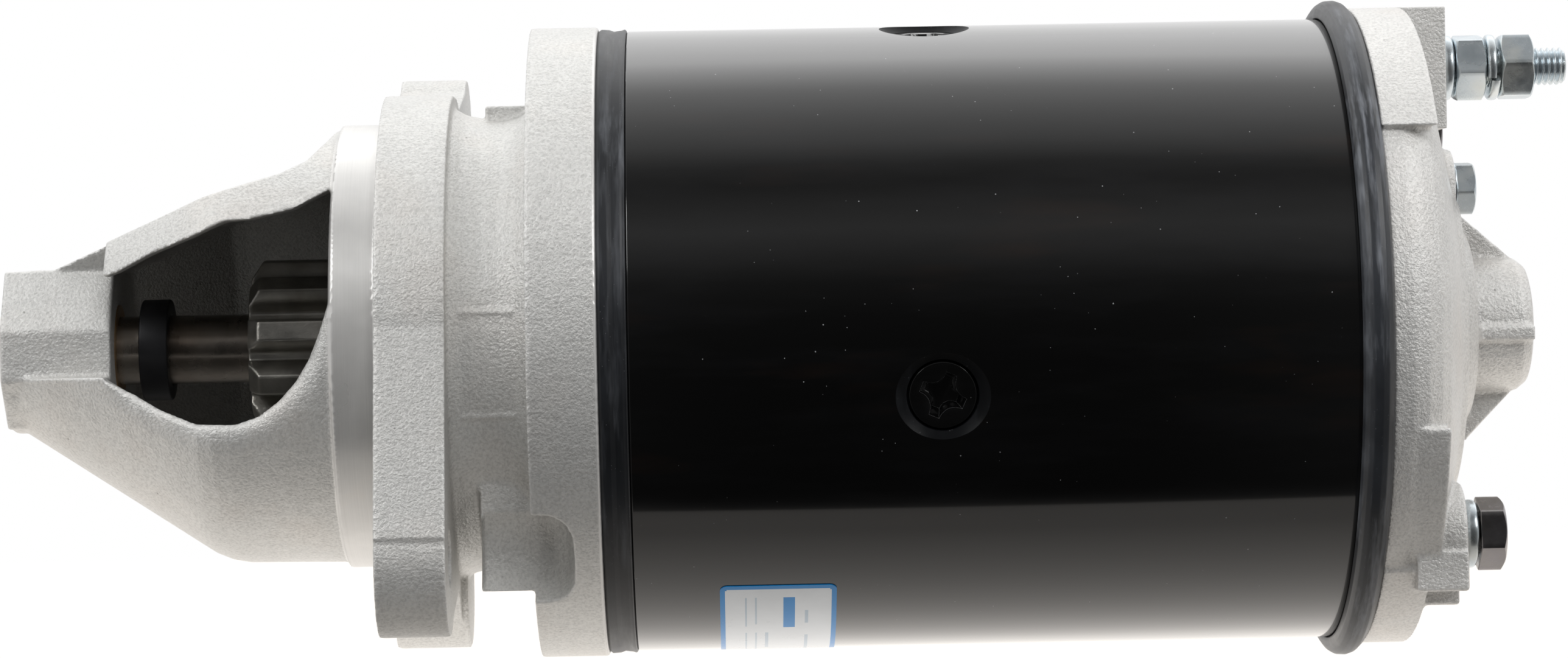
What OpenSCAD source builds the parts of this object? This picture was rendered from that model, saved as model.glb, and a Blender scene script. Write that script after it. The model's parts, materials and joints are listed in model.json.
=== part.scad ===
// Pre-engaged starter motor with a nosed drive end bracket.
// The shaft axis is X. The origin is where that axis crosses the flange's
// engine-side face. The pinion is on the -X side, +Z is up, the pinion
// window faces -Y and the solenoid sits on the +Y side. Millimetres.

/* [Mounting] */
// Radius of the pilot spigot that enters the bell housing
pilot_r = 46.04; // [45:0.01:46.5]
// Length of the pilot spigot
pilot_len = 9.5; // [8:0.5:10]
// Thickness of the mounting flange
flange_t = 14; // [12:0.5:14]
// Pitch circle radius of the two flange bolt holes
bolt_pcr = 63.5; // [62.5:0.1:64]
// Angle of the flange bolt holes above the +Y axis
bolt_ang = 41.8; // [40:0.1:44]
// Radius of the flange bolt holes
bolt_hole_r = 5.5; // [4.5:0.1:6]

/* [Yoke] */
// Outer radius of the yoke tube
yoke_r = 64.5; // [63.8:0.1:65]
// Wall thickness of the yoke tube
yoke_t = 5; // [4.6:0.1:5]
// Position of the yoke's drive end
yoke_x0 = 50.2; // [50:0.1:51]
// Position of the yoke's commutator end
yoke_x1 = 194.4; // [193.5:0.1:195]
// Position of the pole screws along the yoke
pole_x = 111.7; // [111:0.1:112.5]
// Angle of the first pole screw below the -Y axis
pole_ang = 10.6; // [9:0.1:12]

/* [Drive] */
// Radius of the shaft's nose journal
shaft_r = 7.1; // [6.9:0.05:7.1]
// Number of pinion teeth
teeth = 10; // [9:1:11]
// Pinion tip radius
pin_ra = 18.3; // [18:0.1:18.6]
// Position of the pinion's front face at rest
pin_x0 = -28.7; // [-29.5:0.1:-28]
// Radius of the thrust collar
collar_r = 10.5; // [10:0.1:11]

/* [Solenoid] */
// Distance of the solenoid axis from the shaft axis
sol_y = 97; // [97:0.1:97.5]
// Outer radius of the solenoid case
sol_r = 28; // [27:0.1:28.5]

/* [Terminals] */
// Position of the earth stud along Y
stud_y = 18; // [17:0.1:19]
// Height of the earth stud
stud_z = 54.9; // [54:0.1:55.5]
// Radius of the earth stud's thread
stud_r = 4; // [3.8:0.1:4]

/* [Hidden] */
FN = 128;
e = 0.01;

yoke_ri = yoke_r - yoke_t;
lug_y = bolt_pcr * cos(bolt_ang);
lug_z = bolt_pcr * sin(bolt_ang);
tb_y = 35;          // through bolt offset
tb_z = 42;
cb_y = 22;          // cover bolt offset
cb_z = 28;
piv_x = 28;         // lever pivot
piv_y = 55;
core_x0 = 71.7;     // armature stack
core_x1 = 151.7;
com_x0 = 160;       // commutator
com_x1 = 188;
lead_x = 164.5;     // motor lead bar

// ---- helpers -------------------------------------------------------------
module xcyl(x0, x1, r, y = 0, z = 0, fn = FN)
  translate([x0, y, z]) rotate([0, 90, 0]) cylinder(h = x1 - x0, r = r, $fn = fn);
module xcone(x0, x1, r0, r1, y = 0, z = 0)
  translate([x0, y, z]) rotate([0, 90, 0]) cylinder(h = x1 - x0, r1 = r0, r2 = r1, $fn = FN);
module xtube(x0, x1, ro, ri, y = 0, z = 0)
  difference() { xcyl(x0, x1, ro, y, z); xcyl(x0 - 1, x1 + 1, ri, y, z); }
// Solid of revolution about X from points [radius, x]
module xrev(p) rotate([0, 90, 0]) rotate_extrude($fn = FN) polygon(p);
// Prism along X from a 2D shape in (y, z)
module yzx(x0, x1) translate([x0, 0, 0]) rotate([90, 0, 90]) linear_extrude(x1 - x0) children();
// Prism along Y from a 2D shape in (x, z)
module xzy(y0, y1) translate([0, y1, 0]) rotate([90, 0, 0]) linear_extrude(y1 - y0) children();
module box(a, b) translate(a) cube(b - a);
module hexx(x0, x1, af, y = 0, z = 0, a = 0)
  translate([x0, y, z]) rotate([a, 0, 0]) rotate([0, 90, 0]) cylinder(h = x1 - x0, r = af / 2 / cos(30), $fn = 6);
// Hexagon with its outer corners turned to a chamfer on one or both ends
module hex_head(x0, x1, af, y, z, a, c0 = 0, c1 = 0.8)
  intersection() {
    hexx(x0, x1, af, y, z, a);
    translate([0, y, z]) xrev([[0, x0 - e], [af / 2 / cos(30) - c0, x0 - e], [af / 2 / cos(30) + 0.1, x0 + c0 * 0.6 + e],
      [af / 2 / cos(30) + 0.1, x1 - c1 * 0.6 - e], [af / 2 / cos(30) - c1 * 1.4, x1 + e], [0, x1 + e]]);
  }
// Split spring washer
module split_washer(x0, x1, ri, ro, y, z, a)
  difference() {
    xtube(x0, x1, ro, ri, y, z);
    translate([x0, y, z]) rotate([a, 0, 0]) translate([-1, ri - 1, -0.35]) cube([x1 - x0 + 2, ro, 0.7]);
  }

// ---- drive end bracket -----------------------------------------------------
// Side outline of the nose roof, (x, z)
roof = [[-79.2, 17], [-69.1, 16.9], [-55.9, 22.5], [-45.7, 26.6], [-35.5, 30.8],
  [-25.3, 33.9], [-20.2, 35.4], [-15, 38], [-11.6, 42.2], [-9.5, 46.5]];
roof_in = [[-56.6, 16.8], [-54.1, 17.7], [-43.2, 22.8], [-33, 27.7], [-24.1, 30.7],
  [-17.6, 34.0], [-12.9, 37.6], [-9.4, 38]];
// Upper edge of the side window, (x, z)
win_top = [[-56.6, 15.0], [-53.6, 15.9], [-46.1, 19.5], [-37.2, 22.7], [-30.8, 25.6],
  [-25.3, 26.0], [-17.2, 27.8], [-12, 30.6], [-9.4, 32]];
module nose_outer() {
  difference() {
    intersection() {
      xrev([[0, -79.2], [16.0, -79.2], [16.9, -78.2], [16.9, -76], [42.6, -36.8], [44, -33.4], [44.6, -30],
        [44.9, -9.4], [0, -9.4]]);
      xzy(-50, 50) polygon(concat(roof, [[-9, 46.5], [-9, -50], [-79.3, -50], [-79.3, 17]]));
    }
    // The bearing boss stands clear of the arm and the roof on this side
    yzx(-80, -56.6) polygon([[-60, -5.3], [-16.8, -5.3], [-16.8, 4.4], [-8.6, 16.6], [-13, 24], [-60, 24]]);
  }
  // Faceted bearing boss
  yzx(-79.2, -56.6) polygon([[-16.9, -6], [-16.9, 4.4], [-8.6, 16.7], [8.6, 16.7], [16.9, 4.4], [16.9, -6], [8, -15.9], [-8, -15.9]]);
}
module nose_inner() {
  intersection() {
    xrev([[0, -56.6], [23.9, -56.6], [37.4, -36], [38, -33], [38, -9], [0, -9]]);
    xzy(-50, 50) polygon(concat(roof_in, [[-8.9, 38], [-8.9, -38], [-56.6, -38]]));
  }
}
module window()
  xzy(-60, 0) polygon(concat(win_top, [[-9.4, 9], [-11.4, 3], [-13.6, -2.5], [-16.4, -7.2], [-20, -11.2],
    [-24, -14.2], [-29, -15.9], [-37, -15.6], [-44.6, -12.6], [-50.7, -9.0], [-56.6, -5.6]]));
module flange_2d() {
  difference() {
    union() {
      circle(r = 52, $fn = FN);
      for (s = [1, -1]) {
        translate([s * lug_y, s * lug_z]) circle(r = 15.5, $fn = 96);
        polygon([for (p = [[-51.9, 3.5], [-62.6, -37.5], [-50, -57.2], [-15, -50], [0, 0]]) s * p]);
      }
      translate([3, -51]) circle(r = 12.5, $fn = 96);
      polygon([[-20, -48], [-6, -59.6], [12, -59.6], [22, -47], [0, 0]]);
    }
  }
}
// Clearance for a socket behind a flange bolt hole
module scallop(s) {
  xcyl(20, 33.5, 12, s * lug_y * 0.99, s * lug_z * 0.99);
  translate([33.5, s * lug_y * 0.99, s * lug_z * 0.99]) rotate([0, 90, 0])
    rotate_extrude($fn = 96) polygon([[0, -0.5], [12, -0.5], [11.6, 1.5], [10, 3.6], [7, 5], [0, 5.4]]);
}
module drive_end_bracket() color("silver") {
  difference() {
    union() {
      difference() {
        nose_outer();
        nose_inner();
        window();
      }
      xrev([[20, -pilot_len], [pilot_r - 1.2, -pilot_len], [pilot_r, -pilot_len + 0.6], [pilot_r, 0.5], [20, 0.5]]);
      yzx(0, flange_t) flange_2d();
      xcyl(12, 15.3, 12.5, 3, -51);
      xrev([[0, 12], [49.2, 12], [49.2, 14], [47.7, 16.6], [46.9, 20.4], [46.9, 24.4], [47.6, 27.4], [49.2, 30], [50.2, 31], [0, 31]]);
      // Ridge above the neck and the square foot below it
      box([20.7, -9, 30], [31, 22, 49.2]);
      box([19.7, -38, -49.6], [31, 24, -20]);
      xcyl(30.5, 44.4, 65.5);
      // Locating lip inside the yoke
      xcyl(44, 50, yoke_ri - 0.1);
      // Lever housing and solenoid seat
      box([12.2, 30, -29], [44.4, sol_y, 29]);
      xcyl(12.2, 44.4, 31, sol_y, 0);
      box([36.4, sol_y - 9, -42], [44.4, sol_y + 9, 42]);
      xcyl(36.4, 44.4, 9, sol_y, 42 - 4);
      xcyl(36.4, 44.4, 9, sol_y, -42 + 4);
      // Bosses for the lever pivot pin
      translate([piv_x, piv_y, 0]) translate([0, 0, -32]) cylinder(h = 64, r = 10, $fn = 96);
    }
    // Inside of the neck, rim and lever housing
    xcyl(-pilot_len - 1, 36, 38);
    xcyl(34.4, 45, 48);
    xcyl(44.4 - e, 51, 55.5);
    box([16.2, 8, -24.5], [41, sol_y, 24.5]);
    xcyl(16.2, 41, 25, sol_y, 0);
    xcyl(40, 46, 15, sol_y, 0);
    // Bush bore in the nose
    xcyl(-76.4, -50, 9.5);
    // Flange bolt holes with their socket clearances
    for (s = [1, -1]) {
      xcyl(-1, flange_t + 1, bolt_hole_r, s * lug_y, s * lug_z);
      scallop(s);
      // Through bolt threads, and notches in the lip
      xcyl(40.2, 46, 4, s * tb_y, s * tb_z);
      xcyl(44.4, 52, 6.2, s * tb_y, s * tb_z);
      // Threads for the solenoid screws
      xcyl(33, 46, 3, sol_y, s * 38);
    }
    // Pivot pin hole
    translate([piv_x, piv_y, -40]) cylinder(h = 80, r = 4, $fn = 96);
    // Spot faces for the pin's head and end
    for (s = [0, 1]) mirror([0, 0, s]) translate([piv_x, piv_y, 32]) cylinder(h = 40, r = 9, $fn = 96);
  }
}
module nose_bush() color("darkgoldenrod") xtube(-76.2, -56.5, 9.5, shaft_r + 0.05);
module front_seal_ring() color("dimgray")
  xrev([[yoke_ri + 0.2, 44.4], [64.6, 44.4], [65.1, 44.9], [65.1, 49.7], [64.6, yoke_x0], [yoke_ri + 0.2, yoke_x0]]);

module centre_bracket() color("gray") difference() {
  union() {
    xtube(50.2, 53.2, yoke_ri - 0.1, 18);
    xcyl(46, 56, 16);
    xcyl(50.2, 53.2, 19);
  }
  xcyl(40, 60, 12);
  for (s = [1, -1]) xcyl(44, 60, 5, s * tb_y, s * tb_z);
}
module centre_bush() color("darkgoldenrod") xtube(45.5, 56.5, 12, 10.05);

// ---- yoke and field ----------------------------------------------------------
module at_poles() for (k = [0:3]) rotate([pole_ang - 90 * k, 0, 0]) children();
module yoke() color("black") difference() {
  xtube(yoke_x0, yoke_x1, yoke_r, yoke_ri);
  at_poles() {
    translate([pole_x, -yoke_r - 0.4, 0]) rotate([-90, 0, 0]) cylinder(h = 4.4, r1 = 9.55, r2 = 5.15, $fn = 96);
    translate([pole_x, -yoke_r, 0]) rotate([-90, 0, 0]) cylinder(h = 10, r = 5.15, $fn = 96);
  }
  translate([lead_x, 40, -12]) rotate([-90, 0, 0]) cylinder(h = 40, r = 8, $fn = 96);
}
module pole_shoes() color("slategray") at_poles() difference() {
  intersection() {
    xtube(core_x0, core_x1, yoke_ri - 0.05, 41.3);
    union() {
      box([core_x0, -60, -15], [core_x1, -30, 15]);
      difference() {
        box([core_x0, -60, -27], [core_x1, -20, 27]);
        difference() { xcyl(core_x0 - 1, core_x1 + 1, 70); xcyl(core_x0 - 2, core_x1 + 2, 46.5); }
      }
    }
  }
  translate([pole_x, -70, 0]) rotate([-90, 0, 0]) cylinder(h = 24, r = 4.9, $fn = 96);
}
module field_coils() color("sienna") at_poles() difference() {
  intersection() {
    xtube(61, 161.5, yoke_ri - 0.3, 47);
    box([61.7, -62, -24], [152 + 9.2, -30, 24]);
  }
  box([core_x0 - 0.3, -70, -15.3], [core_x1 + 0.3, -20, 15.3]);
}
module pole_screws() color("dimgray") at_poles() difference() {
  union() {
    translate([pole_x, -yoke_r + 2.35, 0]) rotate([-90, 0, 0]) cylinder(h = 1.85, r1 = 6.75, r2 = 4.9, $fn = 96);
    translate([pole_x, -yoke_r + 4.15, 0]) rotate([-90, 0, 0]) cylinder(h = 13.4, r = 4.85, $fn = 96);
  }
  translate([pole_x, -yoke_r, 0]) rotate([0, 34, 0]) for (a = [0, 90]) rotate([0, a, 0])
    translate([-4.4, 0, -1.05]) cube([8.8, 5.2, 2.1]);
}
module rear_seal_ring() color("dimgray")
  xrev([[yoke_ri + 0.2, yoke_x1], [64.7, yoke_x1], [64.7, yoke_x1 - 0.7], [66.0, yoke_x1 - 0.9], [67.5, yoke_x1 - 0.1],
    [68.3, yoke_x1 + 1.5], [68.2, yoke_x1 + 3.3], [67.4, yoke_x1 + 4.7], [65.8, 199.9], [yoke_ri + 0.2, 199.9]]);

// ---- commutator end -----------------------------------------------------------
module commutator_end_bracket() color("gainsboro") difference() {
  union() {
    // Domed body
    xrev([[0, 192], [yoke_ri - 0.1, 192], [yoke_ri - 0.1, 199.9], [65.2, 199.9], [64.9, 204], [63.6, 207], [61, 210],
      [57.5, 212.3], [52, 214.2], [45, 216], [39.5, 217.6], [37, 219.2], [24, 220.6], [21.5, 222.8], [19, 224.3], [0, 224.3]]);
    // Bearing boss
    xrev([[0, 218], [14.4, 218], [13.8, 234.6], [12.2, 236.6], [10, 237.2], [0, 237.2]]);
    // Gussets above and below, and the ribs at the sides
    xzy(-2, 2) polygon([[218, 24], [222.5, 24], [235, 13], [235, -12.5], [224, -24], [218, -24]]);
    yzx(218, 236.6) polygon([[-14.9, -0.2], [-14.9, -3.4], [14.9, -3.4], [14.9, -0.2]]);
    translate([0, 0, -1.8]) linear_extrude(3.4, center = true) polygon([[217, -24], [222, -22], [226, -14], [226, 14],
      [222, 22], [217, 24]]);
    // Terminal block: low front part, high rear part
    intersection() {
      xcyl(199.2, 211.1, 66.6);
      box([199.9, -60, 39.8], [211.1, 40, 70]);
    }
    intersection() {
      xcyl(199.2, 226, 67.2);
      box([199.9, 3, 41.5], [222.2, 32, 70]);
    }
    // Through bolt towers
    for (s = [1, -1]) {
      intersection() {
        xcyl(199.2, 217, 64.6);
        box([199.9, s > 0 ? 16 : -62, s > 0 ? 20 : -48.6], [211.4, s > 0 ? 62 : -16, s > 0 ? 51 : -20]);
      }
      xcyl(204, 216.9, 10.5, s * tb_y, s * tb_z);
    }
    // Lower pad with its drip ledge
    intersection() {
      xcyl(199.2, 213, 65.9);
      box([199.9, -44, -70], [209.5, 30, -30]);
    }
    box([200.6, -34, -56.4], [216.8, -12, -52.7]);
    box([206.5, -46, -52.9], [216.9, -30, -45]);
    // Pads under the cover bolts
    for (s = [1, -1]) xcyl(205, 218.3, 8, -s * cb_y, s * cb_z);
  }
  // Chamber for the brush gear
  difference() {
    xrev([[0, 190], [55.5, 190], [55.5, 202], [52, 206.5], [44, 210], [30, 211.5], [0, 211.5]]);
    // Posts that carry the brush plate, and the bearing sleeve
    for (s = [1, -1]) xcyl(193.6, 214, 6.5, -s * cb_y, s * cb_z);
    xcyl(204, 214, 13);
  }
  // Bush bore
  xcyl(200, 234.2, 9.5);
  for (s = [1, -1]) {
    xcyl(180, 230, 4.1, s * tb_y, s * tb_z);
    xcyl(189, 203, 6.4, s * tb_y, s * tb_z);
    xcyl(189, 230, 3.05, -s * cb_y, s * cb_z);
  }
  // Spot faces for the bolt washers
  xcyl(216.9, 240, 8.8, tb_y, tb_z);
  for (s = [1, -1]) xcyl(218.2, 240, 6.6, -s * cb_y, s * cb_z);
  // Earth stud thread
  xcyl(200, 230, stud_r, stud_y, stud_z);
}
module rear_bush() color("darkgoldenrod") xtube(204.2, 232, 9.5, shaft_r + 0.05);
module brush_plate() color("darkgray") difference() {
  xtube(191.2, 193.5, 54, 24.5);
  for (s = [1, -1]) {
    xcyl(180, 200, 5.2, s * tb_y, s * tb_z);
    xcyl(180, 200, 2.5, -s * cb_y, s * cb_z);
  }
}
module at_brushes() for (k = [0:3]) rotate([12 + 90 * k, 0, 0]) children();
module brush_holders() color("darkkhaki") at_brushes() {
  difference() {
    box([166.5, 24, -6.4], [191.19, 41, 6.4]);
    box([168.9, 20, -4.6], [188.1, 45, 4.6]);
  }
}
module brushes() color([0.2, 0.2, 0.2]) at_brushes() difference() {
  box([169.1, 18, -4.4], [187.9, 38, 4.4]);
  xcyl(160, 195, 20.6);
}
// Coiled strip springs, one behind each brush
module brush_springs() color("steelblue") at_brushes() difference() {
  union() {
    translate([178.5, 41.6, 0]) cylinder(h = 8.4, r = 3.5, center = true, $fn = 64);
    box([176.9, 38.05, -4.2], [180.1, 42, 4.2]);
  }
  translate([178.5, 41.6, 0]) cylinder(h = 12, r = 2.3, center = true, $fn = 64);
}
module through_bolts() color("gray") for (s = [1, -1]) {
  xcyl(40.4, 220.8, 3.5, s * tb_y, s * tb_z);
  hex_head(220.1, 225.4, 13, s * tb_y, s * tb_z, 21);
}
module through_bolt_washers() color("lightsteelblue") for (s = [1, -1])
  split_washer(217.0, 220.0, 4.1, 6.9, s * tb_y, s * tb_z, 200);
module cover_bolts() color("lightsteelblue") for (s = [1, -1]) {
  xcyl(191.3, 219.5, 2.45, -s * cb_y, s * cb_z);
  difference() {
    xcyl(218.2, 219.0, 5.6, -s * cb_y, s * cb_z);
    xcyl(217, 221, 2.45, -s * cb_y, s * cb_z);
  }
  hex_head(218.95, 222.9, 10, -s * cb_y, s * cb_z, 8);
}
// Thread drawn at full diameter on the free end only, a little under it where the nuts engage
module earth_stud() color("lightsteelblue") {
  xcyl(201, 242.6, stud_r - 0.1, stud_y, stud_z);
  xcyl(242.5, 249.7, stud_r - 0.02, stud_y, stud_z);
}
module earth_nuts() color("lightsteelblue") {
  difference() { hex_head(225.8, 232.3, 13, stud_y, stud_z, 12, 0.9, 0.9); xcyl(220, 250, stud_r - 0.01, stud_y, stud_z); }
  difference() { hex_head(235.5, 242.5, 13, stud_y, stud_z, -4, 0.9, 0.9); xcyl(220, 250, stud_r - 0.01, stud_y, stud_z); }
}
module earth_washers() color("lightsteelblue") {
  split_washer(222.8, 225.7, stud_r + 0.1, 6.9, stud_y, stud_z, 150);
  split_washer(232.4, 235.4, stud_r + 0.1, 7, stud_y, stud_z, 160);
}
// Curved adhesive plate under the yoke
module data_plate() color("white") intersection() {
  xtube(67.4, 90.8, yoke_r + 0.25, yoke_r);
  rotate([49.5, 0, 0]) difference() {
    box([60, -80, -120], [100, 90, 0]);
    rotate([62, 0, 0]) box([50, -120, -200], [110, 120, 0]);
  }
}

// ---- motor lead ------------------------------------------------------------------
module lead_grommet() color("black") difference() {
  union() {
    translate([lead_x, 59.3, -12]) rotate([-90, 0, 0]) cylinder(h = 5.5, r = 7.95, $fn = 96);
    translate([lead_x, 64.6, -12]) rotate([-90, 0, 0]) cylinder(h = 3, r = 10, $fn = 96);
  }
  box([lead_x - 1.1, 40, -17.1], [lead_x + 1.1, 90, -6.9]);
}
module motor_lead() color("peru") difference() {
  union() {
    box([lead_x - 1, 50, -17], [lead_x + 1, 88, -7]);
    xcyl(lead_x - 1, lead_x + 1, 9.5, 90, -12);
  }
  xcyl(150, 180, 5.1, 90, -12);
}
module lever_pivot_pin() color("lightsteelblue") {
  translate([piv_x, piv_y, -32.6]) cylinder(h = 64, r = 3.98, $fn = 96);
  translate([piv_x, piv_y, 32.1]) cylinder(h = 3, r = 8, $fn = 6);
  translate([piv_x, piv_y, 30]) cylinder(h = 2.6, r = 3.98, $fn = 96);
}

// ---- solenoid -----------------------------------------------------------------------
module solenoid_case() color("lightslategray") difference() {
  union() {
    xcyl(48.4, 128, sol_r, sol_y);
    hull() { xcyl(44.5, 48.5, sol_r, sol_y, 0, 32); xcyl(44.5, 48.5, 8, sol_y, 38, 32); xcyl(44.5, 48.5, 8, sol_y, -38, 32); }
  }
  xcyl(49, 130, sol_r - 2, sol_y);
  xcyl(40, 50, 13.6, sol_y);
  for (s = [1, -1]) xcyl(40, 50, 3.3, sol_y, s * 38);
}
module solenoid_winding() color("chocolate") xtube(52, 112, sol_r - 2.3, 14.7, sol_y);
module solenoid_sleeve() color("goldenrod") xtube(49.2, 113, 14.6, 13.4, sol_y);
module solenoid_core() color("slategray") difference() {
  union() {
    xcyl(97, 114, 13.3, sol_y);
    xcyl(113.2, 118, sol_r - 2.2, sol_y);
  }
  xcyl(90, 120, 3.6, sol_y);
}
module solenoid_cap() color([0.15, 0.15, 0.15]) difference() {
  union() {
    xcyl(118.1, 128, sol_r - 2.1, sol_y);
    xcyl(127.9, 156, sol_r - 2.1, sol_y);
    xcyl(155, 158, 9, 90, -12);
    xcyl(155, 158, 9, 104, 12);
  }
  xcyl(118, 144, sol_r - 5.5, sol_y);
  xcyl(140, 160, 5, 90, -12);
  xcyl(140, 160, 5, 104, 12);
  box([140, 108, -9.5], [160, 109, -2.9]);
}
module solenoid_studs() color("peru") for (p = [[90, -12, 176], [104, 12, 182]]) {
  xcyl(140.5, p[2] - 4, 4.9, p[0], p[1]);
  xcyl(p[2] == 182 ? 172.5 : 171.6, p[2], 4.98, p[0], p[1]);
  xcyl(137, 140.6, 7, p[0], p[1]);
}
module solenoid_nuts() color("lightsteelblue") for (p = [[90, -12, 165.6], [104, 12, 166.5]]) {
  difference() { hexx(158.1, 163.4, 16, p[0], p[1], 15); xcyl(150, 180, 5, p[0], p[1]); }
  difference() { hexx(p[2], p[2] + 6, 16, p[0], p[1], -10); xcyl(150, 180, 5, p[0], p[1]); }
}
module solenoid_spade() color("silver") box([141, 108.1, -9.4], [167, 108.9, -3]);
module solenoid_screws() color("lightsteelblue") for (s = [1, -1]) {
  xcyl(34, 49, 2.98, sol_y, s * 38);
  hexx(48.6, 53, 10, sol_y, s * 38, 10);
}
module plunger() color("lightslategray") difference() {
  union() {
    xcyl(46, 84, 13.2, sol_y);
    xcyl(60, 84.9, 3, sol_y);
    xcyl(28.5, 47, 7, sol_y);
    intersection() { xcyl(17, 36, 9, sol_y); box([18.3, sol_y - 5.5, -10], [36, sol_y + 5.5, 10]); }
  }
  box([10, sol_y - 12, -4.2], [30.4, sol_y + 12, 4.2]);
  translate([22, sol_y, -12]) cylinder(h = 24, r = 2.5, $fn = 64);
  // spring pocket round a central push post
  difference() { xcyl(60, 90, 7.7, sol_y); xcyl(59, 86, 3, sol_y); }
}
module plunger_pin() color("silver") translate([22, sol_y, -8.6]) cylinder(h = 17.2, r = 2.48, $fn = 64);
// Return spring between the plunger pocket and the fixed core
module coil(x0, x1, r, w, n, y = 0, k = 12)
  for (i = [0:n - 1]) translate([x0 + (x1 - x0) * (i + 0.5) / n, y, 0]) rotate([0, 90, 0])
    rotate_extrude($fn = 48) translate([r, 0]) circle(r = w, $fn = 16);
module plunger_spring() color("steelblue") coil(59.1, 97.9, 6.3, 0.9, 10, sol_y);
module contact_bridge() color("peru") difference() {
  union() {
    xcyl(94, 126, 3, sol_y);
    xcyl(126, 128, 5.4, sol_y);
    box([128, sol_y - 15, -15.5], [130, sol_y + 15, 15.5]);
    xcyl(130, 134, 3, sol_y);
  }
}

// ---- lever and drive ------------------------------------------------------------
// The lever leans by 8.1 degrees at rest: its fork towards +X, its upper end towards -X
module engagement_lever() color("gray") difference() {
  union() {
    translate([piv_x, piv_y, 0]) rotate([0, 0, 8.13]) {
      translate([0, 0, -9]) cylinder(h = 18, r = 9, $fn = 96);
      // Upper arm with its round end
      box([-5, 5, -4], [5, 42.3, 4]);
      translate([0, 42.35, -4]) cylinder(h = 8, r = 5.3, $fn = 96);
      // Fork
      box([-5.5, -17, -9], [5.5, -5, 9]);
      box([-5.5, -21, -23.3], [5.5, -13, 23.3]);
      for (s = [1, -1]) {
        box([-4, -55.5, s > 0 ? 20 : -23.3], [4, -14, s > 0 ? 23.3 : -20]);
        translate([0, -55.5, s > 0 ? 20 : -23.3]) cylinder(h = 3.3, r = 4, $fn = 96);
        translate([0, -55.5, s > 0 ? 13.7 : -20.2]) cylinder(h = 6.5, r = 3, $fn = 96);
      }
    }
  }
  translate([piv_x, piv_y, -30]) cylinder(h = 60, r = 4.05, $fn = 96);
  // Slot for the plunger pin
  translate([piv_x, piv_y, 0]) rotate([0, 0, 8.13]) translate([0, 42.35, -10]) {
    for (d = [-0.6, 0.6]) translate([0, d, 0]) cylinder(h = 20, r = 2.75, $fn = 64);
    translate([-2.75, -0.6, 0]) cube([5.5, 1.2, 20]);
  }
}
module engagement_collar() color("darkgray") xrev([[12.2, 30.4], [19.5, 30.4], [19.5, 32.55], [13.3, 32.55], [13.3, 39.15],
  [19.5, 39.15], [19.5, 41.2], [12.2, 41.2]]);
module keys(x0, x1, w, r) for (k = [0:5]) rotate([60 * k, 0, 0]) box([x0, 6, -w / 2], [x1, r, w / 2]);
module drive_sleeve() color("gray") difference() {
  union() {
    xcyl(14, 41.6, 12.1);
    xcyl(14, 18, 21);
  }
  xcyl(10, 45, 8.35);
  keys(10, 45, 3.3, 9.8);
}
module clutch_shell() color("dimgray") difference() {
  union() {
    xcyl(-3.4, 18.2, 26);
    xcyl(18, 19.6, 24.5);
  }
  xcyl(-4, 13.9, 21.2);
  xcyl(13.8, 18.05, 21.05);
  xcyl(10, 30, 12.4);
}
module clutch_cover() color("lightslategray") xtube(-5.2, -3.5, 26, 14.3);
module clutch_rollers() color("silver") for (k = [0:5]) rotate([60 * k + 15, 0, 0]) xcyl(-2.8, 12.6, 3.5, 17.65, 0, 48);
module meshing_spring() color("steelblue") coil(19.9, 30.1, 14.4, 1.1, 4);

// Involute tooth outline
rp = 15.875; rb = rp * cos(20); rf = 13.0;
function inv(a) = tan(a) * 180 / PI - a;
function half(r) = 6.0 / 2 / rp * 180 / PI + inv(20) - inv(acos(min(1, rb / r)));
tooth_r = [for (i = [0:6]) 15.0 + (pin_ra - 15.0) * i / 6];
function tooth(k) = concat(
  [[(rf + 0.2) * cos(k * 360 / teeth - half(15.0) - 2.6), (rf + 0.2) * sin(k * 360 / teeth - half(15.0) - 2.6)]],
  [for (r = tooth_r) [r * cos(k * 360 / teeth - half(r)), r * sin(k * 360 / teeth - half(r))]],
  [for (i = [6:-1:0]) let (r = tooth_r[i]) [r * cos(k * 360 / teeth + half(r)), r * sin(k * 360 / teeth + half(r))]],
  [[(rf + 0.2) * cos(k * 360 / teeth + half(15.0) + 2.6), (rf + 0.2) * sin(k * 360 / teeth + half(15.0) + 2.6)]]);
pin_pts = [for (k = [0:teeth - 1]) for (p = tooth(k)) p];
module pinion() color("dimgray") difference() {
  union() {
    intersection() {
      yzx(pin_x0, -7) rotate(180 - 11) polygon(pin_pts);
      xrev([[0, pin_x0 - 0.1], [14.6, pin_x0 - 0.1], [pin_ra + 0.2, pin_x0 + 2.6], [pin_ra + 0.2, -6.9], [0, -6.9]]);
    }
    xcyl(-8, -5.3, 16);
    xcyl(-5.4, 12.2, 14);
  }
  xcyl(-40, 20, 8.6);
}
module pinion_bush() color("darkgoldenrod") { xtube(-27.6, -14, 8.6, shaft_r + 0.06); xtube(0, 11.6, 8.6, shaft_r + 0.06); }

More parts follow.
